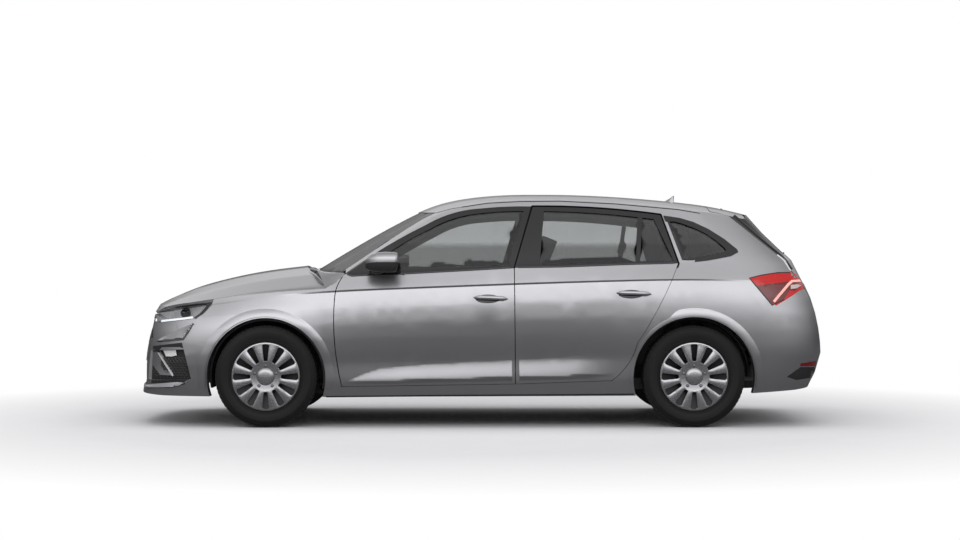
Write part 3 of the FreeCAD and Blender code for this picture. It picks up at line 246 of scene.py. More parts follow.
def shaded(mesh, sharp_angle=None):
    """The mesh shaded smoothly, with sharp edges past an angle in degrees."""
    mesh.polygons.foreach_set("use_smooth", [True] * len(mesh.polygons))
    if sharp_angle:
        mesh.set_sharp_from_angle(angle=math.radians(sharp_angle))
    return mesh


def placed(name, mesh, body, slot=None, stands_for=()):
    """Links one finished mesh as a piece of that body."""
    piece = bpy.data.objects.new(name, mesh)
    scene.collection.objects.link(piece)
    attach(piece, body)
    if stands_for:
        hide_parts(*stands_for)
    return piece


def of_every_face(meshes, attribute, width):
    """One attribute of every face of the meshes, as the rows of an array."""
    rows = []
    for mesh in meshes:
        values = np.empty(len(mesh.polygons) * width)
        mesh.polygons.foreach_get(attribute, values)
        rows.append(values.reshape(-1, width))
    return np.vstack(rows)


skins = {node: copied(node) for node in painted}
centres = of_every_face(skins.values(), "center", 3)
facings = of_every_face(skins.values(), "normal", 3)
areas = of_every_face(skins.values(), "area", 1)[:, 0]
face_tree = KDTree(len(centres))
for number, centre in enumerate(centres):
    face_tree.insert(centre, number)
face_tree.balance()


def skin_near(point):
    """The facings of the skin round a point, and how much each counts."""
    near = face_tree.find_range(point, smooth_reach)
    index = np.array([n[1] for n in near], int)
    away = np.array([n[2] for n in near])
    return facings[index], areas[index] * np.exp(-(away / smooth_spread) ** 2)


def mean_facing(around, weight, own):
    """The mean of the facings around that are much like one's own."""
    alike = np.exp(-(1 - around @ own) / alike_spread)
    total = (around * (weight * alike)[:, None]).sum(0)
    size = np.linalg.norm(total)
    return total / size if size > 1e-9 else own


for node, mesh in skins.items():
    own_facings = np.array([p.normal for p in mesh.polygons])
    corners = np.zeros((len(mesh.loops), 3))
    loops_at = [[] for _ in mesh.vertices]
    for polygon in mesh.polygons:
        for loop in polygon.loop_indices:
            loops_at[mesh.loops[loop].vertex_index].append((loop, polygon.index))
    for vertex in mesh.vertices:
        around, weight = skin_near(vertex.co)
        for loop, face in loops_at[vertex.index]:
            corners[loop] = mean_facing(around, weight, own_facings[face])
    shaded(mesh).normals_split_custom_set([tuple(c) for c in corners])
    dressed(mesh, paint, black_gloss, black_matt)
    placed(node + "_skin", mesh, body_of_node[node], "body_paint", [node])

# Lower door wedges
# Each door's lower face leans out to a ledge near its bottom edge, pressed into the door's own sheet.
# Details of the side are outlines in the camera's 960 x 540 picture. They are laid on the left skin along
# the lines of sight, and the right side takes their mirror image.
picture = (960, 540)
focal = camera_data.lens / camera_data.sensor_width * picture[0]
side_away = 12.02
opening_y = -0.35
mirroring = Matrix.Scale(-1, 4, (0, 1, 0))
outer_nodes = painted + ["fixed_glass", "glass_front_left", "glass_rear_left", "headlamps", "tail_lamps",
                         "tailgate_lamps", "grilles", "cowl", "tailgate_glass"]
corners, triangles = [], []
for node in outer_nodes:
    mesh = frame["nodes"][node].data
    start = len(corners)
    corners += [v.co.copy() for v in mesh.vertices]
    triangles += [[start + i for i in p.vertices] for p in mesh.polygons]
skin = BVHTree.FromPolygons(corners, triangles)


def facing_of(point, own):
    """The smoothed facing of the skin near a point."""
    return Vector(mean_facing(*skin_near(point), np.array(own)))


def line_of_sight(u, v):
    """The way from the camera through (u, v), one metre deep."""
    return Vector(((u - picture[0] / 2) / focal, 1, (picture[1] / 2 - v) / focal))


def touch(u, v):
    """The point of the skin seen at (u, v), and its facing."""
    aim = line_of_sight(u, v).normalized()
    point, facing, _, _ = skin.ray_cast(camera.location, aim)
    if point is None or point.y > opening_y:
        point, facing, _, _ = skin.find_nearest(camera.location + aim * (side_away / aim.y))
    return point, facing if facing.dot(aim) < 0 else -facing


def resampled(points, step, closed=False):
    """Points along a polyline no further apart than step."""
    ends = points[1:] + points[:1] if closed else points[1:]
    found = []
    for a, b in zip(points, ends):
        a, b = Vector(a), Vector(b)
        count = max(1, math.ceil((b - a).length / step))
        found += [a.lerp(b, k / count) for k in range(count)]
    return found if closed else found + [Vector(points[-1])]


def inside(u, v, outline):
    """True where a point lies in an outline."""
    found = False
    for (x0, y0), (x1, y1) in zip(outline, outline[1:] + outline[:1]):
        if (y0 > v) != (y1 > v) and u < (x1 - x0) * (v - y0) / (y1 - y0) + x0:
            found = not found
    return found


def side_patch(outline, lift=0.0008, step=3.0, holes=(), relief=None, meet=touch):
    """A sheet on the left skin inside a side-view outline, with its facing smoothed along the skin."""
    slope_reach, slope_run = 0.4, 0.005
    places = resampled(outline, step, True)
    faces, edges = [list(range(len(places)))], []
    for hole in holes:
        rim = resampled(hole, step, True)
        edges += [(len(places) + k, len(places) + (k + 1) % len(rim)) for k in range(len(rim))]
        places += rim
    us, vs = [p[0] for p in outline], [p[1] for p in outline]
    for u in np.arange(min(us) + step / 2, max(us), step):
        for v in np.arange(min(vs) + step / 2, max(vs), step):
            if inside(u, v, outline):
                places.append(Vector((u, v)))
    found, _, cells, *_ = delaunay_2d_cdt(places, edges, faces, 1, 1e-5)
    vertices, normals = [], []
    for p in found:
        point, facing = meet(p.x, p.y)
        facing = facing_of(point, facing)
        vertices.append(point + facing * (lift + (relief(p.x, p.y) if relief else 0.0)))
        if relief:
            side = Vector((1, 0, 0)) - facing * facing.x
            up = Vector((0, 0, 1)) - facing * facing.z
            slope_u = (relief(p.x + slope_reach, p.y) - relief(p.x - slope_reach, p.y)) / slope_run
            slope_v = (relief(p.x, p.y - slope_reach) - relief(p.x, p.y + slope_reach)) / slope_run
            facing = (facing - side * slope_u - up * slope_v).normalized()
        normals.append(facing)
    kept = []
    for cell in cells:
        centre = sum((found[i] for i in cell), Vector((0, 0))) / len(cell)
        if not any(inside(centre.x, centre.y, hole) for hole in holes):
            a, b, c = (vertices[i] for i in cell[:3])
            kept.append(cell if (b - a).cross(c - a).dot(normals[cell[0]]) > 0 else cell[::-1])
    mesh = bpy.data.meshes.new("patch")
    mesh.from_pydata(vertices, [], kept)
    shaded(mesh).normals_split_custom_set([normals[loop.vertex_index] for loop in mesh.loops])
    return mesh


def mirror_of(mesh):
    """The mesh of the other side of the car."""
    other = mesh.copy()
    kept = [Vector(n.vector) for n in other.corner_normals] if mesh.has_custom_normals else None
    other.transform(mirroring)
    other.flip_normals()
    if kept:
        back = [None] * len(other.loops)
        at = {(polygon.index, mesh.loops[loop].vertex_index): kept[loop]
              for polygon in mesh.polygons for loop in polygon.loop_indices}
        for polygon in other.polygons:
            for loop in polygon.loop_indices:
                n = at[(polygon.index, other.loops[loop].vertex_index)]
                back[loop] = (n.x, -n.y, n.z)
        other.normals_split_custom_set(back)
    return other


def both_sides(name, mesh, material, body="root", slot=None, stands_for=()):
    """Places a left-hand mesh and its mirror image."""
    for side, own in (("left", mesh), ("right", mirror_of(mesh))):
        nodes_here = [n.replace("left", side) for n in stands_for if side == "left" or "left" in n]
        placed(f"{name}_{side}", dressed(own, material), body.replace("left", side), slot, nodes_here)


wedge_top_u = (343, 366, 381, 427, 511, 560, 612)
wedge_top_v = (382.2, 372.7, 368, 364.2, 359.9, 356.8, 350.5)
ledge_u = (343, 458, 560, 612, 622)
ledge_v = (382.6, 378.9, 376.6, 373.5, 371)
ledge_out, ledge_slope, ledge_fall = 0.0125, 0.00085, 3.4
wedge_front_u, wedge_front_fade = 343, 12
wedge_rear_u, wedge_rear_fade = 614, 40
curved_share = 0.35


def wedge_relief(u, v):
    """How far the lower door face stands out."""
    top, ledge = float(np.interp(u, wedge_top_u, wedge_top_v)), float(np.interp(u, ledge_u, ledge_v))
    full = min(ledge_out, ledge_slope * max(0.0, ledge - top))
    full *= min(1.0, max(0.0, (wedge_rear_u - u) / wedge_rear_fade))
    full *= min(1.0, max(0.0, (u - wedge_front_u) / wedge_front_fade))
    if v <= ledge:
        share = max(0.0, (v - top) / max(1e-6, ledge - top))
        return full * (share * share * (3 - 2 * share) * curved_share + share * (1 - curved_share))
    return full * max(0.0, 1 - (v - ledge) / ledge_fall) ** 1.3


wedge_front = [(345.5, 381.6), (366, 372.4), (381, 367.7), (427, 363.9), (511.8, 359.5), (512, 381.6),
               (440, 382.6), (346, 384.2)]
wedge_rear = [(519, 359.2), (560, 356.4), (611, 350.4), (622.5, 363), (616, 375), (610, 379.4),
              (560, 380.0), (519.6, 380.9)]
for name, outline in (("front", wedge_front), ("rear", wedge_rear)):
    both_sides("door_wedge_" + name, side_patch(outline, lift=0.0004, step=2.2, relief=wedge_relief), paint,
               f"door_{name}_left")

# Arch flares
# A soft flare runs round each wheel arch, rolled into the edge of the fender and of the rear quarter. The
# rear one is narrower where it passes on to the door.
flare_out, flare_curve = 0.0065, 2.2
first_turn, last_turn, turn_count = -10, 190, 61
door_turn, door_fade = 105, 8
for name, u0, v0, inner, outer, at_door in (("front", 265.4, 377.2, 60.4, 68.5, 68.5),
                                            ("rear", 694.8, 377.5, 61.6, 69.5, 64.6)):
    def flare_relief(u, v, u0=u0, v0=v0, inner=inner, outer=outer):
        """How far the flare stands out."""
        share = (math.hypot(u - u0, v - v0) - inner) / (outer - inner)
        return flare_out * (1 - max(0.0, min(1.0, share)) ** flare_curve)

    line, edge = [], []
    for turn in np.linspace(first_turn, last_turn, turn_count):
        c, s = math.cos(math.radians(turn)), math.sin(math.radians(turn))
        narrower = 0.0 if turn < door_turn else 1 - max(0.0, 1 - (turn - door_turn) / door_fade)
        reach = outer + (at_door - outer) * narrower
        line.append((u0 + reach * c, v0 - reach * s))
        edge.append((u0 + inner * c, v0 - inner * s))
    flare = side_patch(line + edge[::-1], lift=0.0003, step=2.2, relief=flare_relief)
    both_sides("arch_flare_" + name, flare, paint)

# Black window surround
# The frames of the doors and of the tailgate are gloss black above the waist, and a black moulding surrounds
# the fixed quarter light behind the rear door.
waist = [(330, 276), (370.5, 275.4), (396.5, 275), (473, 270.8), (519, 268), (560, 267.6), (635, 265),
         (678, 264), (745, 260)]
waist_u, waist_v = zip(*waist)
waist_margin = 0.5
gate_frame_y, gate_frame_low, gate_frame_high, gate_frame_facing = 0.47, 1.06, 1.345, 0.85


def seen(point):
    """Where the camera sees a point of the left side, or the mirror image of one on the right."""
    depth = -abs(point[1]) - camera.location.y
    return ((point[0] - camera.location.x) / depth * focal + picture[0] / 2,
            picture[1] / 2 - (point[2] - camera.location.z) / depth * focal)


for node in ("door_front_left", "door_front_right", "door_rear_left", "door_rear_right"):
    for polygon in skins[node].polygons:
        u, v = seen(polygon.center)
        if v < np.interp(u, waist_u, waist_v) - waist_margin:
            polygon.material_index = 1
for polygon in skins["tailgate"].polygons:
    middle = polygon.center
    if (abs(middle.y) > gate_frame_y and gate_frame_low < middle.z < gate_frame_high
            and abs(polygon.normal.z) < gate_frame_facing):
        polygon.material_index = 1


def bridged(outline, blend=0.0):
    """A touch that runs on over openings, on a quadratic surface fitted to the skin along an outline.

    With a blend it rises from the skin near the outline, over that many pixels.
    """
    stray, near_skin, full_rise, rounds = 0.12, 0.02, 0.004, 6
    rim = resampled(outline, 4.0, True)
    hits = [touch(p[0], p[1])[0] for p in rim]
    depths = np.array([p.y for p in hits])
    terms = np.array([(1, p.x, p.z, p.x * p.x, p.x * p.z, p.z * p.z) for p in hits])
    sound = np.abs(depths - np.median(depths)) < stray
    fit = np.linalg.lstsq(terms[sound], depths[sound], rcond=None)[0]

    def meet(u, v):
        aim = line_of_sight(u, v)
        y = float(np.median(depths))
        for _ in range(rounds):
            point = camera.location + aim * (y - camera.location.y)
            x, z = point.x, point.z
            y = float(np.dot(fit, (1, x, z, x * x, x * z, z * z)))
        slope_x = fit[1] + 2 * fit[3] * x + fit[4] * z
        slope_z = fit[2] + fit[4] * x + 2 * fit[5] * z
        point, facing = Vector((x, y, z)), Vector((slope_x, -1, slope_z)).normalized()
        if blend:
            own = touch(u, v)[0]
            share = min(1.0, min(math.hypot(u - p[0], v - p[1]) for p in rim) / blend)
            point = point + facing * full_rise * share
            if abs(own.y - point.y) < near_skin:
                point = own.lerp(point, share)
        return point, facing

    return meet


quarter_glass = [(669.5, 221.8), (674, 221.6), (682, 223.8), (694, 228.2), (706, 234), (716, 240.8),
                 (724.5, 248), (726, 250.8), (722, 252.8), (708, 255.6), (684.5, 259)]
quarter_band = [(663.2, 215.8), (670, 216.6), (680, 218.2), (693, 222), (708, 229), (724, 239), (737, 249.4),
                (738.2, 252.2), (731, 256), (708, 260.4), (690, 263), (679.6, 263.6), (673, 246)]
both_sides("quarter_surround", side_patch(quarter_band, lift=0.0030, step=3.0, holes=[quarter_glass],
                                          meet=bridged(quarter_band)), black_gloss)

# Seals and roof ditches
# Rubber seals run along the waist of the doors and down the edge of the tailgate, and a narrow rubber strip
# is pressed into the ditch on each side of the roof.


def end_scale(k, count):
    """How much of the profile is left at a point of a path with rounded ends."""
    smallest, steepness = 0.05, 2.2
    return max(smallest, min(1.0, math.sin(math.pi * (k + 0.3) / (count - 0.4)) * steepness))


def sweep(points, ups, profile, closed=False, tapered=False):
    """A profile of (across, up) pairs carried along a path."""
    vertices, faces = [], []
    count, wide = len(points), len(profile)
    for k, point in enumerate(points):
        ahead = points[(k + 1) % count] if closed or k + 1 < count else points[k]
        behind = points[k - 1] if closed or k else points[k]
        along = (ahead - behind).normalized()
        up = (ups[k] - along * ups[k].dot(along)).normalized()
        across = along.cross(up)
        scale = end_scale(k, count) if tapered else 1.0
        vertices += [point + (across * a + up * b) * scale for a, b in profile]
    for k in range(count if closed else count - 1):
        for m in range(wide):
            faces.append((k * wide + m, ((k + 1) % count) * wide + m,
                          ((k + 1) % count) * wide + (m + 1) % wide, k * wide + (m + 1) % wide))
    if not closed:
        faces += [tuple(range(wide)), tuple(reversed(range((count - 1) * wide, count * wide)))]
    mesh = bpy.data.meshes.new("sweep")
    mesh.from_pydata(vertices, [], faces)
    form = bmesh.new()
    form.from_mesh(mesh)
    bmesh.ops.recalc_face_normals(form, faces=form.faces)
    form.to_mesh(mesh)
    form.free()
    return shaded(mesh, sharp_angle=40)


def side_strip(places, width, thick, step=4.0, closed=False, meet=touch):
    """A flat strip with rounded upper corners along a side-view line, from just inside the left skin."""
    sunk, stray, shoulder_share, top_share = 0.001, 0.004, 0.6, 0.36
    hits = [meet(p[0], p[1]) for p in resampled(places, step, closed)]
    points = [h[0] for h in hits]
    for k in range(1, len(points) - 1):
        middle = sorted((points[k - 1].y, points[k].y, points[k + 1].y))[1]
        if abs(points[k].y - middle) > stray:
            points[k] = Vector((points[k].x, middle, points[k].z))
    profile = [(-width / 2, -sunk), (width / 2, -sunk), (width / 2, thick * shoulder_share),
               (width * top_share, thick), (-width * top_share, thick), (-width / 2, thick * shoulder_share)]
    return sweep(points, [facing_of(p, h[1]) for p, h in zip(points, hits)], profile, closed)


gate_line = [(733.8, 215.6), (754.1, 232.8), (762.4, 239.8), (780.6, 254.7), (785.8, 259.8), (792, 269)]
gate_band_u, gate_band_v = -8, 10
gate_loop = gate_line + [(u + gate_band_u, v + gate_band_v) for u, v in reversed(gate_line)]
waist_front = [(347.5, 273.6), (352, 275.2), (370.5, 274.2), (396.5, 273.4), (473, 269.2), (511, 266.9)]
waist_rear = [(518, 266.6), (560, 266), (635, 263.2), (674, 262.3)]
roof_ditch = [(436, 213), (452, 208.6), (488, 203.2), (520, 201.6), (560, 201.2), (616, 204), (678, 209.6),
              (700, 213.4)]
both_sides("gate_seal", side_strip(gate_line, width=0.026, thick=0.004, step=3.0, meet=bridged(gate_loop)),
           black_gloss, "tailgate")
for name, line in (("front", waist_front), ("rear", waist_rear)):
    both_sides("waist_seal_" + name, side_strip(line, width=0.020, thick=0.004), black_gloss,
               f"door_{name}_left")
both_sides("roof_ditch", side_strip(roof_ditch, width=0.006, thick=0.0012), black_matt)

# Glass
# The panes are thin tinted safety glass, bonded to the body or held in the door frames. They mirror the sky
# by their angle, and their tint is a little darker in the lower part, as a painted reflection of the ground.
tint_low, tint_high, painted_reflection_share = 1.128, 1.150, 0.80


def see_through(name, tint, shade, grain, rough, refraction):
    """A clear sheet with a faintly cloudy tint that mirrors by its angle."""
    material = bpy.data.materials.new(name)
    material.use_nodes = True
    wired(material.node_tree,
          {"clear": "BsdfTransparent", "tint": "Mix RGBA", "cloud": "TexNoise", "spot": "TexCoord",
           "shine": "BsdfGlossy", "edge": "Fresnel", "both": "MixShader"},
          [("tint", 6, (*tint, 1)), ("tint", 7, (*shade, 1)), ("cloud", "Scale", grain),
           ("shine", "Roughness", rough), ("edge", "IOR", refraction)],
          [("spot", "Object", "cloud", "Vector"), ("cloud", "Fac", "tint", 0), ("tint", 2, "clear", "Color"),
           ("edge", "Fac", "both", "Fac"), ("clear", "BSDF", "both", 1), ("shine", "BSDF", "both", 2),
           ("both", "Shader", "Material Output", "Surface")])
    return material


def refinished(node, name, finish, sharp_angle, slot=None):
    """A CAD node's own form with a new finish."""
    placed(name, dressed(shaded(copied(node), sharp_angle), finish), body_of_node[node], slot, [node])


glass = see_through("tinted_glass", (0.80, 0.81, 0.81), (0.76, 0.77, 0.77), grain=3, rough=0.02,
                    refraction=1.75)
# Below a set height the tint is darkened: a painted reflection of the dark ground in the panes.
wired(glass.node_tree, {"heights": "SeparateXYZ", "shaded": "MapRange", "painted_reflection": "VectorMath SCALE"},
      [("shaded", "From Min", tint_low), ("shaded", "From Max", tint_high),
       ("shaded", "To Min", painted_reflection_share)],
      [("spot", "Object", "heights", "Vector"), ("heights", "Z", "shaded", "Value"),
       ("tint", 2, "painted_reflection", 0), ("shaded", "Result", "painted_reflection", "Scale"),
       ("painted_reflection", "Vector", "clear", "Color")])
for node in ("fixed_glass", "glass_front_left", "glass_front_right", "glass_rear_left", "glass_rear_right",
             "tailgate_glass"):
    refinished(node, node + "_pane", glass, sharp_angle=30, slot="cabin_glass")

# Tyres
# Each tyre is moulded rubber: a turned carcass with ribbed side walls and five rings of tread blocks. One
# block of each ring is made, and a node group copies it round the axle.
tread_count = 66
floor_radius, tread_radius = 0.3085, 0.3155
tread_root = floor_radius - 0.002
shoulder_y, shoulder_drop, crown = 0.08, 0.0028, 0.0004
rubber = surface("tyre_rubber", (0.0045, 0.0045, 0.0048), (0.0085, 0.0085, 0.009),
                 grain=220, rough=0.66, bump=0.25)


def around_axle(mesh, count, material):
    """Copies a mesh round the Y axis with a node group, and returns the plain result."""
    group = bpy.data.node_groups.new("around_axle", "GeometryNodeTree")
    group.interface.new_socket("Geometry", in_out="INPUT", socket_type="NodeSocketGeometry")
    count_socket = group.interface.new_socket("Count", in_out="INPUT", socket_type="NodeSocketInt")
    turn_socket = group.interface.new_socket("Turn", in_out="INPUT", socket_type="NodeSocketFloat")
    group.interface.new_socket("Geometry", in_out="OUTPUT", socket_type="NodeSocketGeometry")
    made = {kind: group.nodes.new(kind) for kind in (
        "NodeGroupInput", "GeometryNodePoints", "GeometryNodeInputIndex", "ShaderNodeMath",
        "ShaderNodeCombineXYZ", "FunctionNodeEulerToRotation", "GeometryNodeInstanceOnPoints",
        "GeometryNodeRealizeInstances", "GeometryNodeSetMaterial", "NodeGroupOutput")}
    made["ShaderNodeMath"].operation = "MULTIPLY"
    made["GeometryNodeSetMaterial"].inputs["Material"].default_value = material
    for a, out, b, into in (
            ("NodeGroupInput", "Count", "GeometryNodePoints", "Count"),
            ("GeometryNodeInputIndex", "Index", "ShaderNodeMath", 0),
            ("NodeGroupInput", "Turn", "ShaderNodeMath", 1),
            ("ShaderNodeMath", "Value", "ShaderNodeCombineXYZ", "Y"),
            ("ShaderNodeCombineXYZ", "Vector", "FunctionNodeEulerToRotation", "Euler"),
            ("GeometryNodePoints", 0, "GeometryNodeInstanceOnPoints", "Points"),
            ("NodeGroupInput", "Geometry", "GeometryNodeInstanceOnPoints", "Instance"),
            ("FunctionNodeEulerToRotation", "Rotation", "GeometryNodeInstanceOnPoints", "Rotation"),
            ("GeometryNodeInstanceOnPoints", "Instances", "GeometryNodeRealizeInstances", "Geometry"),
            ("GeometryNodeRealizeInstances", "Geometry", "GeometryNodeSetMaterial", "Geometry"),
            ("GeometryNodeSetMaterial", "Geometry", "NodeGroupOutput", "Geometry")):
        group.links.new(made[a].outputs[out], made[b].inputs[into])
    holder = bpy.data.objects.new("holder", mesh)
    scene.collection.objects.link(holder)
    modifier = holder.modifiers.new("copies", "NODES")
    modifier.node_group = group
    modifier[count_socket.identifier] = count
    modifier[turn_socket.identifier] = 2 * math.pi / count
    bpy.context.view_layer.update()
    result = bpy.data.meshes.new_from_object(holder.evaluated_get(bpy.context.evaluated_depsgraph_get()))
    bpy.data.objects.remove(holder)
    return result


def lathe(profile, steps, closed=False):
    """A profile of (radius, y) turned round the Y axis."""
    vertices = [(r * math.sin(2 * math.pi * k / steps), y, r * math.cos(2 * math.pi * k / steps))
                for k in range(steps) for r, y in profile]
    wide = len(profile)
    faces = []
    for k in range(steps):
        for m in range(wide if closed else wide - 1):
            faces.append((k * wide + m, k * wide + (m + 1) % wide, ((k + 1) % steps) * wide + (m + 1) % wide,
                          ((k + 1) % steps) * wide + m))
    mesh = bpy.data.meshes.new("lathe")
    mesh.from_pydata(vertices, [], faces)
    return mesh


def merged(parts, angle=35.0):
    """Joins (mesh, material) parts into one mesh with shared slots, outward facing and smooth shading."""
    form, materials = bmesh.new(), []
    for mesh, material in parts:
        if material not in materials:
            materials.append(material)
        before = len(form.faces)
        form.from_mesh(mesh)
        form.faces.ensure_lookup_table()
        for face in form.faces[before:]:
            face.material_index = materials.index(material)
    bmesh.ops.remove_doubles(form, verts=form.verts, dist=1e-6)
    bmesh.ops.recalc_face_normals(form, faces=form.faces)
    mesh = bpy.data.meshes.new("merged")
    form.to_mesh(mesh)
    form.free()
    for material in materials:
        mesh.materials.append(material)
    return shaded(mesh, angle)


side_wall = [(0.2145, 0.086), (0.2165, 0.0905), (0.2225, 0.0935), (0.2245, 0.0925), (0.231, 0.0975),
             (0.233, 0.0968), (0.247, 0.1008), (0.262, 0.1024), (0.276, 0.1018), (0.2775, 0.1008),
             (0.287, 0.0985), (0.2885, 0.0972), (0.298, 0.0935), (0.3045, 0.0895), (floor_radius, 0.0845)]
bead = [(0.2125, -0.084), (0.2125, 0.084)]
carcass = side_wall + [(floor_radius, 0.0)] + [(r, -y) for r, y in side_wall[::-1]] + bead
tyre_parts = [(lathe(carcass, steps=96, closed=True), rubber)]
for y0, y1, skew in ((0.0625, 0.0885, 0.0), (0.0245, 0.0545, 0.25), (-0.0155, 0.0155, -0.25),
                     (-0.0545, -0.0245, 0.25), (-0.0885, -0.0625, 0.0)):
    rows = []
    for y, turn in ((y0, -skew), (y1, skew)):
        top = tread_radius - (shoulder_drop if abs(y) > shoulder_y else 0.0)
        for share_of_pitch in (-0.40, 0.0, 0.40):
            angle = (share_of_pitch + turn) * 2 * math.pi / tread_count
            for r in (tread_root, top + (0.0 if share_of_pitch else crown)):
                rows.append((r * math.sin(angle), y, r * math.cos(angle)))
    block = bpy.data.meshes.new("tread")
    block.from_pydata(rows, [], [(1, 3, 9, 7), (3, 5, 11, 9), (0, 1, 7, 6), (5, 4, 10, 11),
                                 (0, 2, 3, 1), (2, 4, 5, 3), (6, 7, 9, 8), (8, 9, 11, 10)])
    tyre_parts.append((around_axle(block, tread_count, rubber), rubber))
tyre_mesh = merged(tyre_parts, angle=30)

# Wheel covers
# Each cover is moulded plastic in silver, clipped over a black steel wheel. It is dished, with a slot
# between each pair of spokes and a ring of bolt caps. One spoke and one bolt cap are copied round the axle.
# Dark discs round the bolt caps and a dark ring round the hub are painted shade for pockets and a groove.
axles = {"front_left": (-1.319, -0.7655), "front_right": (-1.319, 0.7655),
         "rear_left": (1.330, -0.758), "rear_right": (1.330, 0.758)}
axle_height = 0.316
spoke_count, bolt_count = 12, 5
slot_inner, slot_outer = 0.093, 0.2015
slot_half_inner, slot_half_outer = 0.0105, 0.0225
slot_round_share, slot_round_depth = 0.07, 0.55
lip_start, lip_growth = 0.15, 12
bolt_circle, bolt_seat_radius = 0.0695, 0.07
cap_sunk, pocket_lift = 0.001, 0.0004
dish = [(0.0, 0.0235), (0.030, 0.0225), (0.046, 0.019), (0.0525, 0.0135), (0.0545, 0.0105), (0.060, 0.0115),
        (0.078, 0.0125), (0.086, 0.0145), (slot_inner, 0.0155), (0.13, 0.0160), (0.17, 0.0148),
        (slot_outer, 0.0120), (0.206, 0.0115), (0.2095, 0.0105), (0.2125, 0.0070), (0.2135, 0.0020)]
dish_r, dish_h = zip(*dish)
silver = surface("cover_silver", (0.50, 0.50, 0.51), (0.60, 0.60, 0.61),
                 grain=300, rough=0.26, metal=0.9, coat=0.6)
# A dark finish for the painted shade in the bolt pockets and the hub groove.
cover_shade = surface("cover_painted_shade", (0.05, 0.05, 0.052), (0.09, 0.09, 0.092),
                      grain=120, rough=0.5, metal=0.3)
wheel_black = surface("wheel_black", (0.008, 0.008, 0.008), (0.016, 0.016, 0.016), grain=120, rough=0.45)


def dish_height(r):
    """How far the cover stands out at a radius."""
    return float(np.interp(r, dish_r, dish_h))


spoke_rows = []
stations = [slot_inner - 0.004, slot_inner, 0.100, 0.112, 0.128, 0.146, 0.164, 0.182, 0.194, slot_outer,
            slot_outer + 0.003]
across = [(-1.0, -0.010), (-1.0, -0.0028), (-0.90, -0.0006), (-0.5, 0.0010), (0.0, 0.0022), (0.5, 0.0010),
          (0.90, -0.0006), (1.0, -0.0028), (1.0, -0.010)]
for r in stations:
    share = min(1.0, max(0.0, (r - slot_inner) / (slot_outer - slot_inner)))
    round_off = max(0.0, 1 - min(share, 1 - share) / slot_round_share)
    half_slot = slot_half_inner + (slot_half_outer - slot_half_inner) * share
    half_slot *= 1 - slot_round_depth * round_off ** 2
    half_spoke = math.pi / spoke_count - math.asin(half_slot / r)
    for t, drop in across:
        angle = math.pi / spoke_count + half_spoke * t
        y = -(dish_height(r) + drop * min(1.0, share * lip_growth + lip_start))
        spoke_rows.append((r * math.sin(angle), y, r * math.cos(angle)))
wide = len(across)
spoke = bpy.data.meshes.new("spoke")
spoke.from_pydata(spoke_rows, [], [
    (k * wide + m, k * wide + m + 1, (k + 1) * wide + m + 1, (k + 1) * wide + m)
    for k in range(len(stations) - 1) for m in range(wide - 1)])
bolt_cap = lathe([(0.0075, 0.0), (0.0075, -0.0045), (0.006, -0.0058), (0.0, -0.006)], steps=14)
bolt_cap.transform(Matrix.Translation((0, cap_sunk - dish_height(bolt_seat_radius), bolt_circle)))
# A flat dark disc round each bolt cap is painted shade standing for its pocket.
bolt_pocket_shade = lathe([(0.0105, -0.0004), (0.0, -0.0002)], steps=16)
bolt_pocket_shade.transform(Matrix.Translation((0, -dish_height(bolt_seat_radius) - pocket_lift, bolt_circle)))
hub = lathe([(r, -h) for r, h in dish if r <= slot_inner] + [(0.0955, -0.0135), (0.0965, -0.008)], steps=96)
outer_ring = lathe([(slot_outer - 0.001, -0.004), (slot_outer, -0.0112)]
                   + [(r, -h) for r, h in dish if r >= slot_outer] + [(0.2135, 0.004)], steps=96)
hub_groove_shade = lathe([(0.0532, -0.0112), (0.0552, -0.0112)], steps=64)
cover_mesh = merged([(around_axle(spoke, spoke_count, silver), silver), (hub, silver), (outer_ring, silver),
                     (around_axle(bolt_pocket_shade, bolt_count, cover_shade), cover_shade),
                     (around_axle(bolt_cap, bolt_count, silver), silver), (hub_groove_shade, cover_shade)],
                    angle=32)
for corner, (x, y) in axles.items():
    left = "left" in corner
    for part, mesh, slot in (("tyre", tyre_mesh, "tyre_rubber"), ("cover", cover_mesh, "cover_silver")):
        own = mesh.copy()
        out = y if part == "tyre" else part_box("cover_" + corner)[1 if left else 0].y
        if not left:
            own.transform(mirroring)
            own.flip_normals()
        own.transform(Matrix.Translation((x, out, axle_height)))
        placed(f"{part}_{corner}_form", own, body_of_node[f"{part}_{corner}"], slot, [f"{part}_{corner}"])
    for s in frame["nodes"]["wheel_" + corner].material_slots:
        s.material = wheel_black

# Headlamps
# Each headlamp is a clear moulded lens over a pale bowl, with a black projector and a bright reflector. The
# bowl and the reflector glow faintly, as a painted highlight. A black rim runs along the top, and a white
# light strip along the bottom.


def glowing(name, colour, shade, strength):
    """A lamp surface that gives a little light of its own; on the pale bowls this glow is a painted
    highlight.
    """
    material = surface(name, colour, shade, grain=30, rough=0.2)
    wired(material.node_tree, {}, [("Principled BSDF", "Emission Color", (*colour, 1)),
                                   ("Principled BSDF", "Emission Strength", strength)], [])
    return material


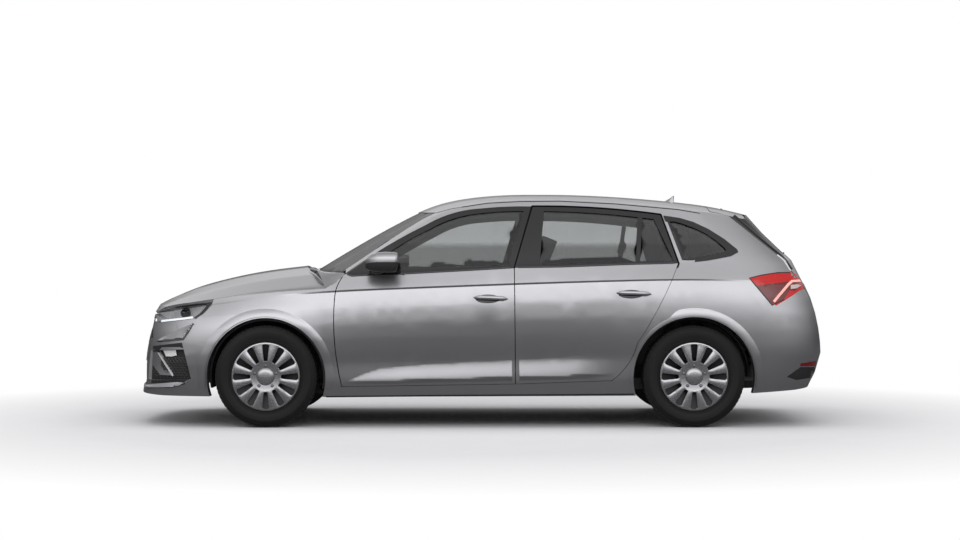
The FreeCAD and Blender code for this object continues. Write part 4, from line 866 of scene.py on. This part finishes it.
lens = see_through("lens_clear", (0.92, 0.93, 0.94), (0.88, 0.89, 0.90), grain=5, rough=0.03, refraction=1.5)
bowl_painted_glow = glowing("bowl_painted_glow", (0.50, 0.50, 0.51), (0.66, 0.66, 0.67), strength=0.22)
strip_white = glowing("strip_white", (0.85, 0.87, 0.9), (0.7, 0.72, 0.75), strength=0.35)
head_outline = [(156.9, 322.5), (157.2, 316), (157.6, 312.5), (165, 309.8), (180, 306.7), (196, 304.4),
                (212, 303), (208, 309), (203, 314), (196, 318.8), (180, 320.8), (165, 322.3)]
head_corner = [(195.5, 318.9), (203, 314), (208, 309), (212, 303), (207.5, 304.6), (204.4, 308.6),
               (199.8, 313.6), (194, 317.6)]
head_strip = [(161.5, 321.1), (170, 320.2), (182, 318.9), (193, 317.4)]
bowl_inset, bowl_depth = Vector((0, 0.0005, 0)), Vector((0.030, 0.050, 0.0))
bowl_narrowing_share, bowl_crown_share = 0.82, 1.1
lamp_turn, lamp_inset = -38, Vector((0.020, 0.040, 0))
rim_points = [touch(p[0], p[1])[0] for p in resampled(head_outline, 3.0, True)]
centre = sum(rim_points, Vector()) / len(rim_points)
front_points = [p + bowl_inset for p in rim_points]
back_points = [centre + (p - centre) * bowl_narrowing_share + bowl_depth for p in rim_points]
bowl = bpy.data.meshes.new("bowl")
count = len(rim_points)
bowl.from_pydata(front_points + back_points + [centre + bowl_depth * bowl_crown_share], [],
                 [(k, (k + 1) % count, count + (k + 1) % count, count + k) for k in range(count)]
                 + [(count + k, count + (k + 1) % count, 2 * count) for k in range(count)])
both_sides("headlamp_lens", side_patch(head_outline, lift=0.0006, step=3.0), lens, slot="clear_lens",
           stands_for=["headlamps"])
both_sides("headlamp_bowl", merged([(bowl, bowl_painted_glow)]), bowl_painted_glow)
both_sides("headlamp_rim", side_strip(head_outline[2:7], width=0.011, thick=0.0022), black_gloss)
both_sides("headlamp_corner", side_patch(head_corner, lift=0.0014, step=2.0), black_gloss)
both_sides("headlamp_strip", side_strip(head_strip, width=0.013, thick=0.003), strip_white)
projector = lathe([(0.0, -0.030), (0.012, -0.028), (0.022, -0.020), (0.028, -0.008), (0.030, 0.0),
                   (0.036, 0.001), (0.038, 0.012)], steps=32)
for name, u, v, size, finish in (("projector", 181, 313.4, 1.0, black_gloss),
                                 ("reflector", 167.5, 315.2, 0.62, bowl_painted_glow)):
    own = projector.copy()
    own.transform(Matrix.Rotation(math.radians(lamp_turn), 4, "Z") @ Matrix.Scale(size, 4))
    own.transform(Matrix.Translation(touch(u, v)[0] + lamp_inset))
    both_sides("headlamp_" + name, merged([(own, finish)]), finish)

# Tail lamps
# The tail lamps are red moulded lenses, darker below, with a pale bent light band, a clear part for the
# reversing light and a black edge. A red reflector sits low in each end of the rear bumper.
red_deep = surface("red_deep", (0.10, 0.002, 0.003), (0.16, 0.004, 0.005), grain=40, rough=0.12, coat=1.0)
red_bright = surface("red_bright", (0.50, 0.004, 0.004), (0.60, 0.008, 0.007),
                     grain=40, rough=0.16, coat=0.5)
band_pink = glowing("band_pink", (0.95, 0.42, 0.36), (0.85, 0.34, 0.30), strength=0.45)
reverse_clear = surface("reverse_clear", (0.55, 0.45, 0.45), (0.7, 0.6, 0.6),
                        grain=80, rough=0.15, coat=1.0)
tail_outline = [(749.4, 278.1), (762.4, 275), (777.6, 272.7), (790, 272.3), (796, 274.4), (799, 277.8),
                (801.5, 282), (803, 285.8), (794.9, 290.6), (789.5, 290.1), (784.1, 299.3), (772.2, 305.2),
                (762, 293)]
tail_dark = [(757, 285.5), (775, 283.5), (790, 281.6), (801, 281.8), (802.5, 285.4), (794.9, 290.6),
             (789.5, 290.1), (784.1, 299.3), (772.2, 305.2), (762, 293)]
tail_band = [(773.8, 301.8), (779, 295.5), (784.5, 289), (788.5, 284.2), (792, 281.2), (800, 280.8)]
tail_clear = [(790.5, 285), (798, 284.4), (801, 285.6), (797, 288.2), (790.5, 289.2)]
tail_edge = [(784.1, 299.3), (772.2, 305.2), (762, 293), (749.4, 278.1), (762.4, 275), (777.6, 272.7),
             (790, 272.4)]
reflector = [(800.5, 363.6), (810, 361.9), (816.5, 361), (816, 366), (800.3, 366.2)]
both_sides("tail_lamp", side_patch(tail_outline, lift=0.0010, step=2.5), red_bright, slot="red_lens")
both_sides("tail_lamp_dark", side_patch(tail_dark, lift=0.0016, step=2.5), red_deep)
both_sides("tail_lamp_band", side_strip(tail_band, width=0.016, thick=0.0030, step=2.5), band_pink)
both_sides("tail_lamp_clear", side_patch(tail_clear, lift=0.0024, step=2.0), reverse_clear)
both_sides("tail_lamp_edge", side_strip(tail_edge, width=0.007, thick=0.0018, step=2.5), black_gloss)
both_sides("rear_reflector", side_patch(reflector, lift=0.0016, step=2.0), red_deep)

# Lower intake
# The intake in the front bumper is black moulded plastic with a comb of open hexagons. At each end it holds
# a fog lamp in a rim, a silver blade and a painted facet.
intake = [(153.2, 346), (182, 342.6), (190.3, 379), (182.6, 382.6), (151.5, 383.3)]
intake_end = [(182.2, 343), (196, 344.5), (198, 382), (186, 384), (191, 378.6)]
intake_loop = [(181, 339.5), (197, 339.5), (200.5, 388), (187, 388.5), (197.3, 376), (195.6, 347.2),
               (181, 341.6)]
fog = [(163.4, 350.2), (176.4, 349.8), (177.6, 355.6), (172, 357), (166.2, 356.8)]
blade = [(159.4, 352.6), (164, 360.4), (169, 368.3), (173.6, 375.8)]
comb_outline = [(154, 357), (184.5, 357), (189, 379), (182, 381), (153, 381.5)]
comb_u, comb_v, comb_rows, comb_columns = 154, 358.4, 11, 11
comb_pitch_u, comb_pitch_v, comb_squash = 3.4, 2.5, 0.86
facet = [(154.2, 350.6), (161.0, 350.8), (175.0, 376.2), (161.0, 375.2), (152.8, 364.6)]
facet_rise, facet_crown_share = Vector((-0.004, -0.010, 0.004)), 0.6
strip_silver = surface("strip_silver", (0.80, 0.80, 0.81), (0.88, 0.88, 0.89),
                       grain=90, rough=0.35, metal=0.4)
comb_black = surface("comb_black", (0.03, 0.03, 0.031), (0.05, 0.05, 0.051),
                     grain=200, rough=0.25, coat=0.6)
both_sides("intake_trim", side_patch(intake, lift=0.0014, step=3.0), black_matt)
both_sides("intake_end", side_patch(intake_end, lift=0.0016, step=2.5, meet=bridged(intake_loop)), paint)
# The fog lamp's face glows faintly: a painted highlight.
both_sides("fog_lamp", side_patch(fog, lift=0.0040, step=1.5), bowl_painted_glow)
both_sides("fog_rim", side_strip(fog, width=0.006, thick=0.0050, step=1.5, closed=True), black_gloss)
both_sides("intake_blade", side_strip(blade, width=0.010, thick=0.012), strip_silver)
comb = bmesh.new()
for row in range(comb_rows):
    for column in range(comb_columns):
        u, v = comb_u + (column + row % 2 / 2) * comb_pitch_u, comb_v + row * comb_pitch_v
        if inside(u, v, comb_outline):
            rings = []
            for size, lift in ((1.72, 0.0030), (1.15, 0.0050)):
                rings.append([comb.verts.new(touch(u + size * math.sin(k * math.pi / 3),
                                                   v + size * math.cos(k * math.pi / 3) * comb_squash)[0]
                                             + Vector((0, -lift, 0))) for k in range(6)])
            for k in range(6):
                comb.faces.new([rings[0][k], rings[0][(k + 1) % 6], rings[1][(k + 1) % 6], rings[1][k]])
comb_mesh = bpy.data.meshes.new("comb")
comb.to_mesh(comb_mesh)
comb.free()
both_sides("intake_comb", merged([(comb_mesh, comb_black)]), comb_black)
facet_points = [touch(u, v)[0] + facet_rise for u, v in facet]
facet_middle = sum(facet_points, Vector()) / 5 + facet_rise * facet_crown_share
intake_facet = bpy.data.meshes.new("intake_facet")
intake_facet.from_pydata(facet_points + [facet_middle] + [p - facet_rise for p in facet_points], [],
                         [(5, (k + 1) % 5, k) for k in range(5)]
                         + [(k, (k + 1) % 5, 6 + (k + 1) % 5, 6 + k) for k in range(5)])
both_sides("intake_facet", merged([(intake_facet, paint)], angle=60), paint)

# Nose
# The painted nose has a facet under each headlamp and a lip under the intake, both moulded into the front
# bumper. The end of the grille is black.


def ledge(top, bottom, rise):
    """A relief that leans out from a top line to a bottom line and then drops back to the skin."""
    crest_share = 0.86

    def relief(u, v):
        v0 = np.interp(u, [p[0] for p in top], [p[1] for p in top])
        v1 = np.interp(u, [p[0] for p in bottom], [p[1] for p in bottom])
        share = (v - v0) / max(v1 - v0, 0.5)
        return rise * float(np.interp(share, (0, crest_share, 1), (0, 1, 0)))

    return relief


for name, top, bottom, rise in (
        ("nose_facet", [(155.5, 341.3), (166, 335.4), (178, 329.4), (193.5, 323.4)],
         [(155.6, 342.2), (168, 341.6), (183.6, 340.2), (189.5, 331.5), (193.6, 323.8)], 0.021),
        ("lip_blade", [(146.2, 384.6), (160, 383.4), (177, 382), (184, 382.6), (190.4, 378.2)],
         [(146, 388.4), (160, 388.2), (174, 387.6), (183.6, 384.6), (190.8, 379.4)], 0.019)):
    form = side_patch(top + bottom[::-1], lift=0.0012, step=1.5, relief=ledge(top, bottom, rise))
    both_sides(name, form, paint)
grille_end = [(149.6, 323.5), (153.4, 322.6), (152.9, 338), (149.2, 338)]
both_sides("grille_edge", side_patch(grille_end, lift=0.0012, step=2.0), black_gloss)
nose_corner = [(164, 326), (170, 325.2), (177, 325), (178, 333), (177, 341), (170, 342), (164, 341),
               (163, 333)]
both_sides("nose_corner", side_patch(nose_corner, lift=0.0008, step=1.5, meet=bridged(nose_corner, 3.0)),
           paint)

# Fender corners
# A painted panel fills the corner between the fender, the bonnet's rear edge and the windscreen. Each of its
# columns rises from a foot on the fender to a head at a given depth.
column_shares = (0, 0.25, 0.5, 0.75, 1)
foot_lift = 0.0016
bulge_aim, bulge_share = Vector((0, -0.3, 1)), 0.10
corner_rows = []
for foot_place, head_place, head_y in (
        ((325.0, 287.6), (308.6, 268.4), -0.36), ((328.5, 286.4), (314, 270.2), -0.50),
        ((332.5, 284.6), (321, 271.4), -0.62), ((336.5, 281.6), (329, 272.1), -0.70),
        ((341.0, 277.0), (337, 272.6), -0.76), ((344.6, 273.6), (344, 272.9), -0.79)):
    foot, facing = touch(*foot_place)
    foot = foot + facing * foot_lift
    head = camera.location + line_of_sight(*head_place) * (head_y - camera.location.y)
    bulge = bulge_aim * (head - foot).length * bulge_share
    corner_rows += [foot + (head - foot) * t + bulge * (4 * t * (1 - t)) for t in column_shares]
fender_corner = bpy.data.meshes.new("fender_corner")
fender_corner.from_pydata(corner_rows, [], [(5 * k + m, 5 * k + 5 + m, 5 * k + 6 + m, 5 * k + 1 + m)
                                            for k in range(5) for m in range(4)])
both_sides("fender_corner", merged([(fender_corner, paint)]), paint)

# Rear insert and sill edges
# The lower part of the rear bumper is bare black plastic, and so is the edge under each sill.
rear_insert = [(786.8, 376.8), (800.3, 367.2), (816, 367), (813.5, 372), (812.6, 377.4), (796, 380)]
sill_edge = [(326, 396.6), (430, 395.6), (560, 394.8), (634, 394.2)]
both_sides("rear_insert", side_patch(rear_insert, lift=0.0014, step=2.5), black_matt)
both_sides("sill_edge", side_strip(sill_edge, width=0.010, thick=0.003), black_matt)

# Door handles
# Each handle is a painted plastic bow, fixed at both ends. Behind it a gloss black patch on the door skin
# is painted shade for the finger bowl.


def ring_profile(width, depth, sides=10):
    """An oval cross-section."""
    return [(width / 2 * math.cos(2 * math.pi * k / sides), depth / 2 * math.sin(2 * math.pi * k / sides))
            for k in range(sides)]


recess_half_u, recess_half_v = 12.5, 4.4
recess_ahead, recess_below = 3, 0.6
handle_foot, handle_bow = 0.004, 0.020
for name, body, u0, u1, v0, v1 in (("handle_front", "door_front_left", 473.5, 508, 297.6, 299.0),
                                   ("handle_rear", "door_rear_left", 616.3, 651.5, 293.0, 294.2)):
    middle_u, middle_v = (u0 + u1) / 2 - recess_ahead, (v0 + v1) / 2 + recess_below
    finger_bowl_shade = [(middle_u + recess_half_u * math.cos(a), middle_v + recess_half_v * math.sin(a))
              for a in np.linspace(0, 2 * math.pi, 28, False)]
    # The gloss black patch behind the handle is painted shade for the finger bowl in the door skin.
    both_sides(name + "_finger_bowl_shade", side_patch(finger_bowl_shade, lift=0.0008, step=2.0), black_gloss, body)
    path, ups = [], []
    for share in np.linspace(0, 1, 15):
        point, facing = touch(u0 + (u1 - u0) * share, v0 + (v1 - v0) * share)
        path.append(point + facing * (handle_foot + handle_bow * math.sin(math.pi * share) ** 0.5))
        ups.append(facing)
    both_sides(name, sweep(path, ups, ring_profile(width=0.026, depth=0.015, sides=14), tapered=True), paint,
               body)

# Mirrors
# Each mirror is a rounded plastic shell, painted above and black below, with a bright glass behind. A short
# black arm carries it on the front door.
mirror_sides = 28
mirror_low, mirror_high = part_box("mirror_left")
mirror_centre = (mirror_low + mirror_high) / 2 + Vector((0, -0.004, 0.004))
mirror_half = (mirror_high - mirror_low) / 2 - Vector((0, 0.008, 0.008))
mirror_squareness, mirror_lean, paint_edge, pane_x = 0.62, 0.012, 0.004, -0.511
mirror_sections = [(-0.700, 0.10, -0.010), (-0.696, 0.36, -0.009), (-0.684, 0.60, -0.006),
                   (-0.662, 0.80, -0.002), (-0.625, 0.94, 0.0), (-0.575, 1.0, 0.0), (-0.520, 0.985, 0.0),
                   (-0.502, 0.95, 0.0), (-0.499, 0.90, 0.0), (-0.510, 0.87, 0.0)]
mirror_rows, mirror_faces = [], []
for x, share, drop in mirror_sections:
    for k in range(mirror_sides):
        c, s = math.cos(2 * math.pi * k / mirror_sides), math.sin(2 * math.pi * k / mirror_sides)
        y = abs(c) ** mirror_squareness * (1 if c > 0 else -1) * mirror_half.y * share
        z = abs(s) ** mirror_squareness * (1 if s > 0 else -1) * mirror_half.z * share
        mirror_rows.append((x + mirror_lean * min(0.0, z / mirror_half.z), mirror_centre.y + y,
                            mirror_centre.z + z + drop))
for k in range(len(mirror_sections) - 1):
    for m in range(mirror_sides):
        after = (m + 1) % mirror_sides
        mirror_faces.append((k * mirror_sides + m, k * mirror_sides + after, (k + 1) * mirror_sides + after,
                             (k + 1) * mirror_sides + m))
mirror_faces.append(tuple(range(mirror_sides)))
shell = dressed(bpy.data.meshes.new("mirror_shell"), paint, black_matt)
shell.from_pydata(mirror_rows, [], mirror_faces)
form = bmesh.new()
form.from_mesh(shell)
bmesh.ops.recalc_face_normals(form, faces=form.faces)
for face in form.faces:
    face.material_index = 1 if face.calc_center_median().z < mirror_centre.z - paint_edge else 0
form.to_mesh(shell)
form.free()
shaded(shell, sharp_angle=50)
bright = surface("mirror_bright", (0.72, 0.73, 0.74), (0.78, 0.79, 0.80), grain=20, rough=0.03, metal=1.0,
                 rough_spread=0.01)
pane = bpy.data.meshes.new("mirror_pane")
pane.from_pydata([(pane_x, y, z) for _, y, z in mirror_rows[-mirror_sides:]], [],
                 [tuple(reversed(range(mirror_sides)))])
arm_path = [Vector((-0.640, mirror_high.y + 0.010, 0.955)), Vector((-0.630, mirror_high.y - 0.03, 0.962)),
            Vector((-0.620, mirror_high.y - 0.065, 0.972))]
arm = sweep(arm_path, [Vector((0, 0, 1))] * 3, ring_profile(width=0.085, depth=0.030, sides=16))
dressed(pane, bright)
dressed(arm, black_matt)
for side in ("left", "right"):
    for part, mesh, stands in (("mirror_shell", shell, ["mirror_" + side]), ("mirror_pane", pane, ()),
                               ("mirror_arm", arm, ())):
        own = mesh if side == "left" else mirror_of(mesh)
        placed(f"{part}_{side}", own, "door_front_" + side, None, stands)

# Roof fin
# The aerial fin is a small painted moulding at the rear of the roof. It is made as high as the part's box
# allows.
fin_x, fin_height, fin_sunk, fin_clearance = 1.252, 0.0435, 0.002, 0.001
fin_rows = [(-0.038, 0.0, 0.0), (0.0, 0.016, 0.0), (0.036, 0.009, 0.0), (0.038, 0.0, 0.0),
            (0.036, -0.009, 0.0), (0.0, -0.016, 0.0), (0.010, 0.0, 0.026), (0.030, 0.0036, 0.042),
            (0.037, 0.0, fin_height), (0.030, -0.0036, 0.042)]
roof_point = skin.ray_cast(Vector((fin_x, 0, 3)), Vector((0, 0, -1)))[0]
fin_scale = min(1.0, (high.z - fin_clearance - roof_point.z) / fin_height)
fin = bpy.data.meshes.new("roof_fin")
fin.from_pydata([(roof_point.x + x, y, roof_point.z - fin_sunk + z * fin_scale) for x, y, z in fin_rows], [],
                [(0, 1, 6), (1, 2, 7), (1, 7, 6), (2, 3, 8), (2, 8, 7), (3, 4, 9), (3, 9, 8), (4, 5, 9),
                 (5, 6, 9), (5, 0, 6), (6, 7, 8), (6, 8, 9)])
placed("roof_fin", merged([(fin, paint)], angle=30), body_of_node["roof_panel"])

# Wipers and tailgate fittings
# Black wipers lie at the foot of the windscreen and on the tailgate glass: steel arms with rubber blades.
# The tailgate also carries a gloss black handle and a red brake lamp at its top edge.


def laid(places, aim, lift):
    """Points of a line dropped on the skin along an aim and lifted off it, and the skin's facing there."""
    hits = [skin.ray_cast(Vector(place), aim) for place in places]
    hits = [hit for hit in hits if hit[0] is not None]
    ups = [hit[1] if hit[1].dot(aim) < 0 else -hit[1] for hit in hits]
    return [hit[0] + up * lift for hit, up in zip(hits, ups)], ups


for name, line, wide, lift in (
        ("wiper_left_arm", [(-1.090, -0.30), (-1.088, -0.20), (-1.085, -0.10)], 0.016, 0.010),
        ("wiper_left_blade", [(-1.070, -0.38), (-1.074, -0.20), (-1.080, 0.04)], 0.010, 0.007),
        ("wiper_right_arm", [(-1.094, 0.08), (-1.090, 0.16), (-1.086, 0.24)], 0.016, 0.010),
        ("wiper_right_blade", [(-1.080, 0.06), (-1.074, 0.22), (-1.068, 0.38)], 0.010, 0.007)):
    points, ups = laid([(x, y, 3) for x, y in resampled(line, 0.05)], Vector((0, 0, -1)), lift)
    wiper = sweep(points, ups, ring_profile(wide, depth=0.012, sides=8))
    placed(name, merged([(wiper, black_matt)]), "root")
for name, line, wide, thick, lift, material in (
        ("rear_wiper_arm", [(0.03, 1.052), (-0.05, 1.056), (-0.17, 1.066)], 0.022, 0.014, 0.016, black_matt),
        ("rear_wiper_blade", [(-0.02, 1.066), (-0.17, 1.072), (-0.34, 1.078)], 0.012, 0.014, 0.008,
         black_matt),
        ("gate_handle", [(-0.30, 0.842), (0.0, 0.845), (0.30, 0.842)], 0.030, 0.010, 0.002, black_gloss),
        ("high_brake_lamp", [(-0.16, 1.372), (0.0, 1.373), (0.16, 1.372)], 0.016, 0.008, 0.001, red_deep)):
    points, ups = laid([(4, y, z) for y, z in resampled(line, 0.04)], Vector((-1, 0, 0)), lift)
    placed(name, merged([(sweep(points, ups, ring_profile(wide, thick)), material)]), "tailgate")

# Plates
# Each plate is a blank white sheet. The front one follows the curve of the bumper, and the rear one sits on
# the tailgate.
plate_half, plate_columns, plate_lift = 0.26, 14, 0.004
plate_white = surface("plate_blank", (0.62, 0.62, 0.63), (0.68, 0.68, 0.69), grain=80, rough=0.4)
for name, start, aim, body, z0, z1 in (("plate_front", -4, 1, "root", 0.345, 0.455),
                                       ("plate_rear", 4, -1, "tailgate", 0.705, 0.815)):
    rows = []
    for y in np.linspace(-plate_half, plate_half, plate_columns):
        for z in (z0, z1):
            hit = skin.ray_cast(Vector((start, y, z)), Vector((aim, 0, 0)))
            point = hit[0] if hit[0] is not None else Vector((rows[-2][0], y, z))
            rows.append((point.x - aim * plate_lift, y, z))
    sheet = bpy.data.meshes.new(name)
    turn = (0, 1, 3, 2) if aim < 0 else (0, 2, 3, 1)
    sheet.from_pydata(rows, [], [tuple(2 * k + t for t in turn) for k in range(plate_columns - 1)])
    placed(name, merged([(sheet, plate_white)]), body)

# Seats
# The seats are foam cushions in dark woven cloth: copies of their solids with every hard edge rounded. They
# are fixed to the floor.
fabric = surface("seat_fabric", (0.030, 0.030, 0.032), (0.055, 0.055, 0.058),
                 grain=900, rough=0.9, bump=0.6)
seat_mesh = bpy.data.meshes.new("seat_form")
form = bmesh.new()
form.from_mesh(frame["nodes"]["seats"].data)
bmesh.ops.remove_doubles(form, verts=form.verts, dist=merge_reach)
bmesh.ops.dissolve_limit(form, angle_limit=math.radians(1), verts=form.verts, edges=form.edges)
hard_angle = 0.5
hard_edges = [e for e in form.edges if e.is_manifold and e.calc_face_angle(0) > hard_angle]
bmesh.ops.bevel(form, geom=hard_edges, offset=0.03, offset_type="OFFSET", segments=4, profile=0.6,
                affect="EDGES", clamp_overlap=True)
form.to_mesh(seat_mesh)
form.free()
seats = placed("seats_form", shaded(dressed(seat_mesh, fabric)), "root", "seat_fabric", ["seats"])

# Remaining parts
# The underbody is painted or bare steel, the inner frames, grilles and cabin mouldings are dark, and the
# lamps' inner forms are red. These nodes keep their own form and take a finish that varies over it.
steel = surface("underbody_steel", (0.035, 0.035, 0.037), (0.06, 0.06, 0.062),
                grain=40, rough=0.5, metal=0.5)
exhaust_steel = surface("exhaust_steel", (0.22, 0.21, 0.20), (0.34, 0.33, 0.32),
                        grain=30, rough=0.35, metal=0.9)
for finish, nodes in (
        (exhaust_steel, ["exhaust"]),
        (steel, ["floor_pan", "front_subframe", "rear_axle", "knuckle_left", "knuckle_right",
                 "engine_block"]),
        (black_matt, ["side_frames", "grilles", "cowl", "dashboard", "steering_wheel"]),
        (red_bright, ["tail_lamps", "tailgate_lamps"])):
    for node in nodes:
        refinished(node, node + "_form", finish, sharp_angle=28)
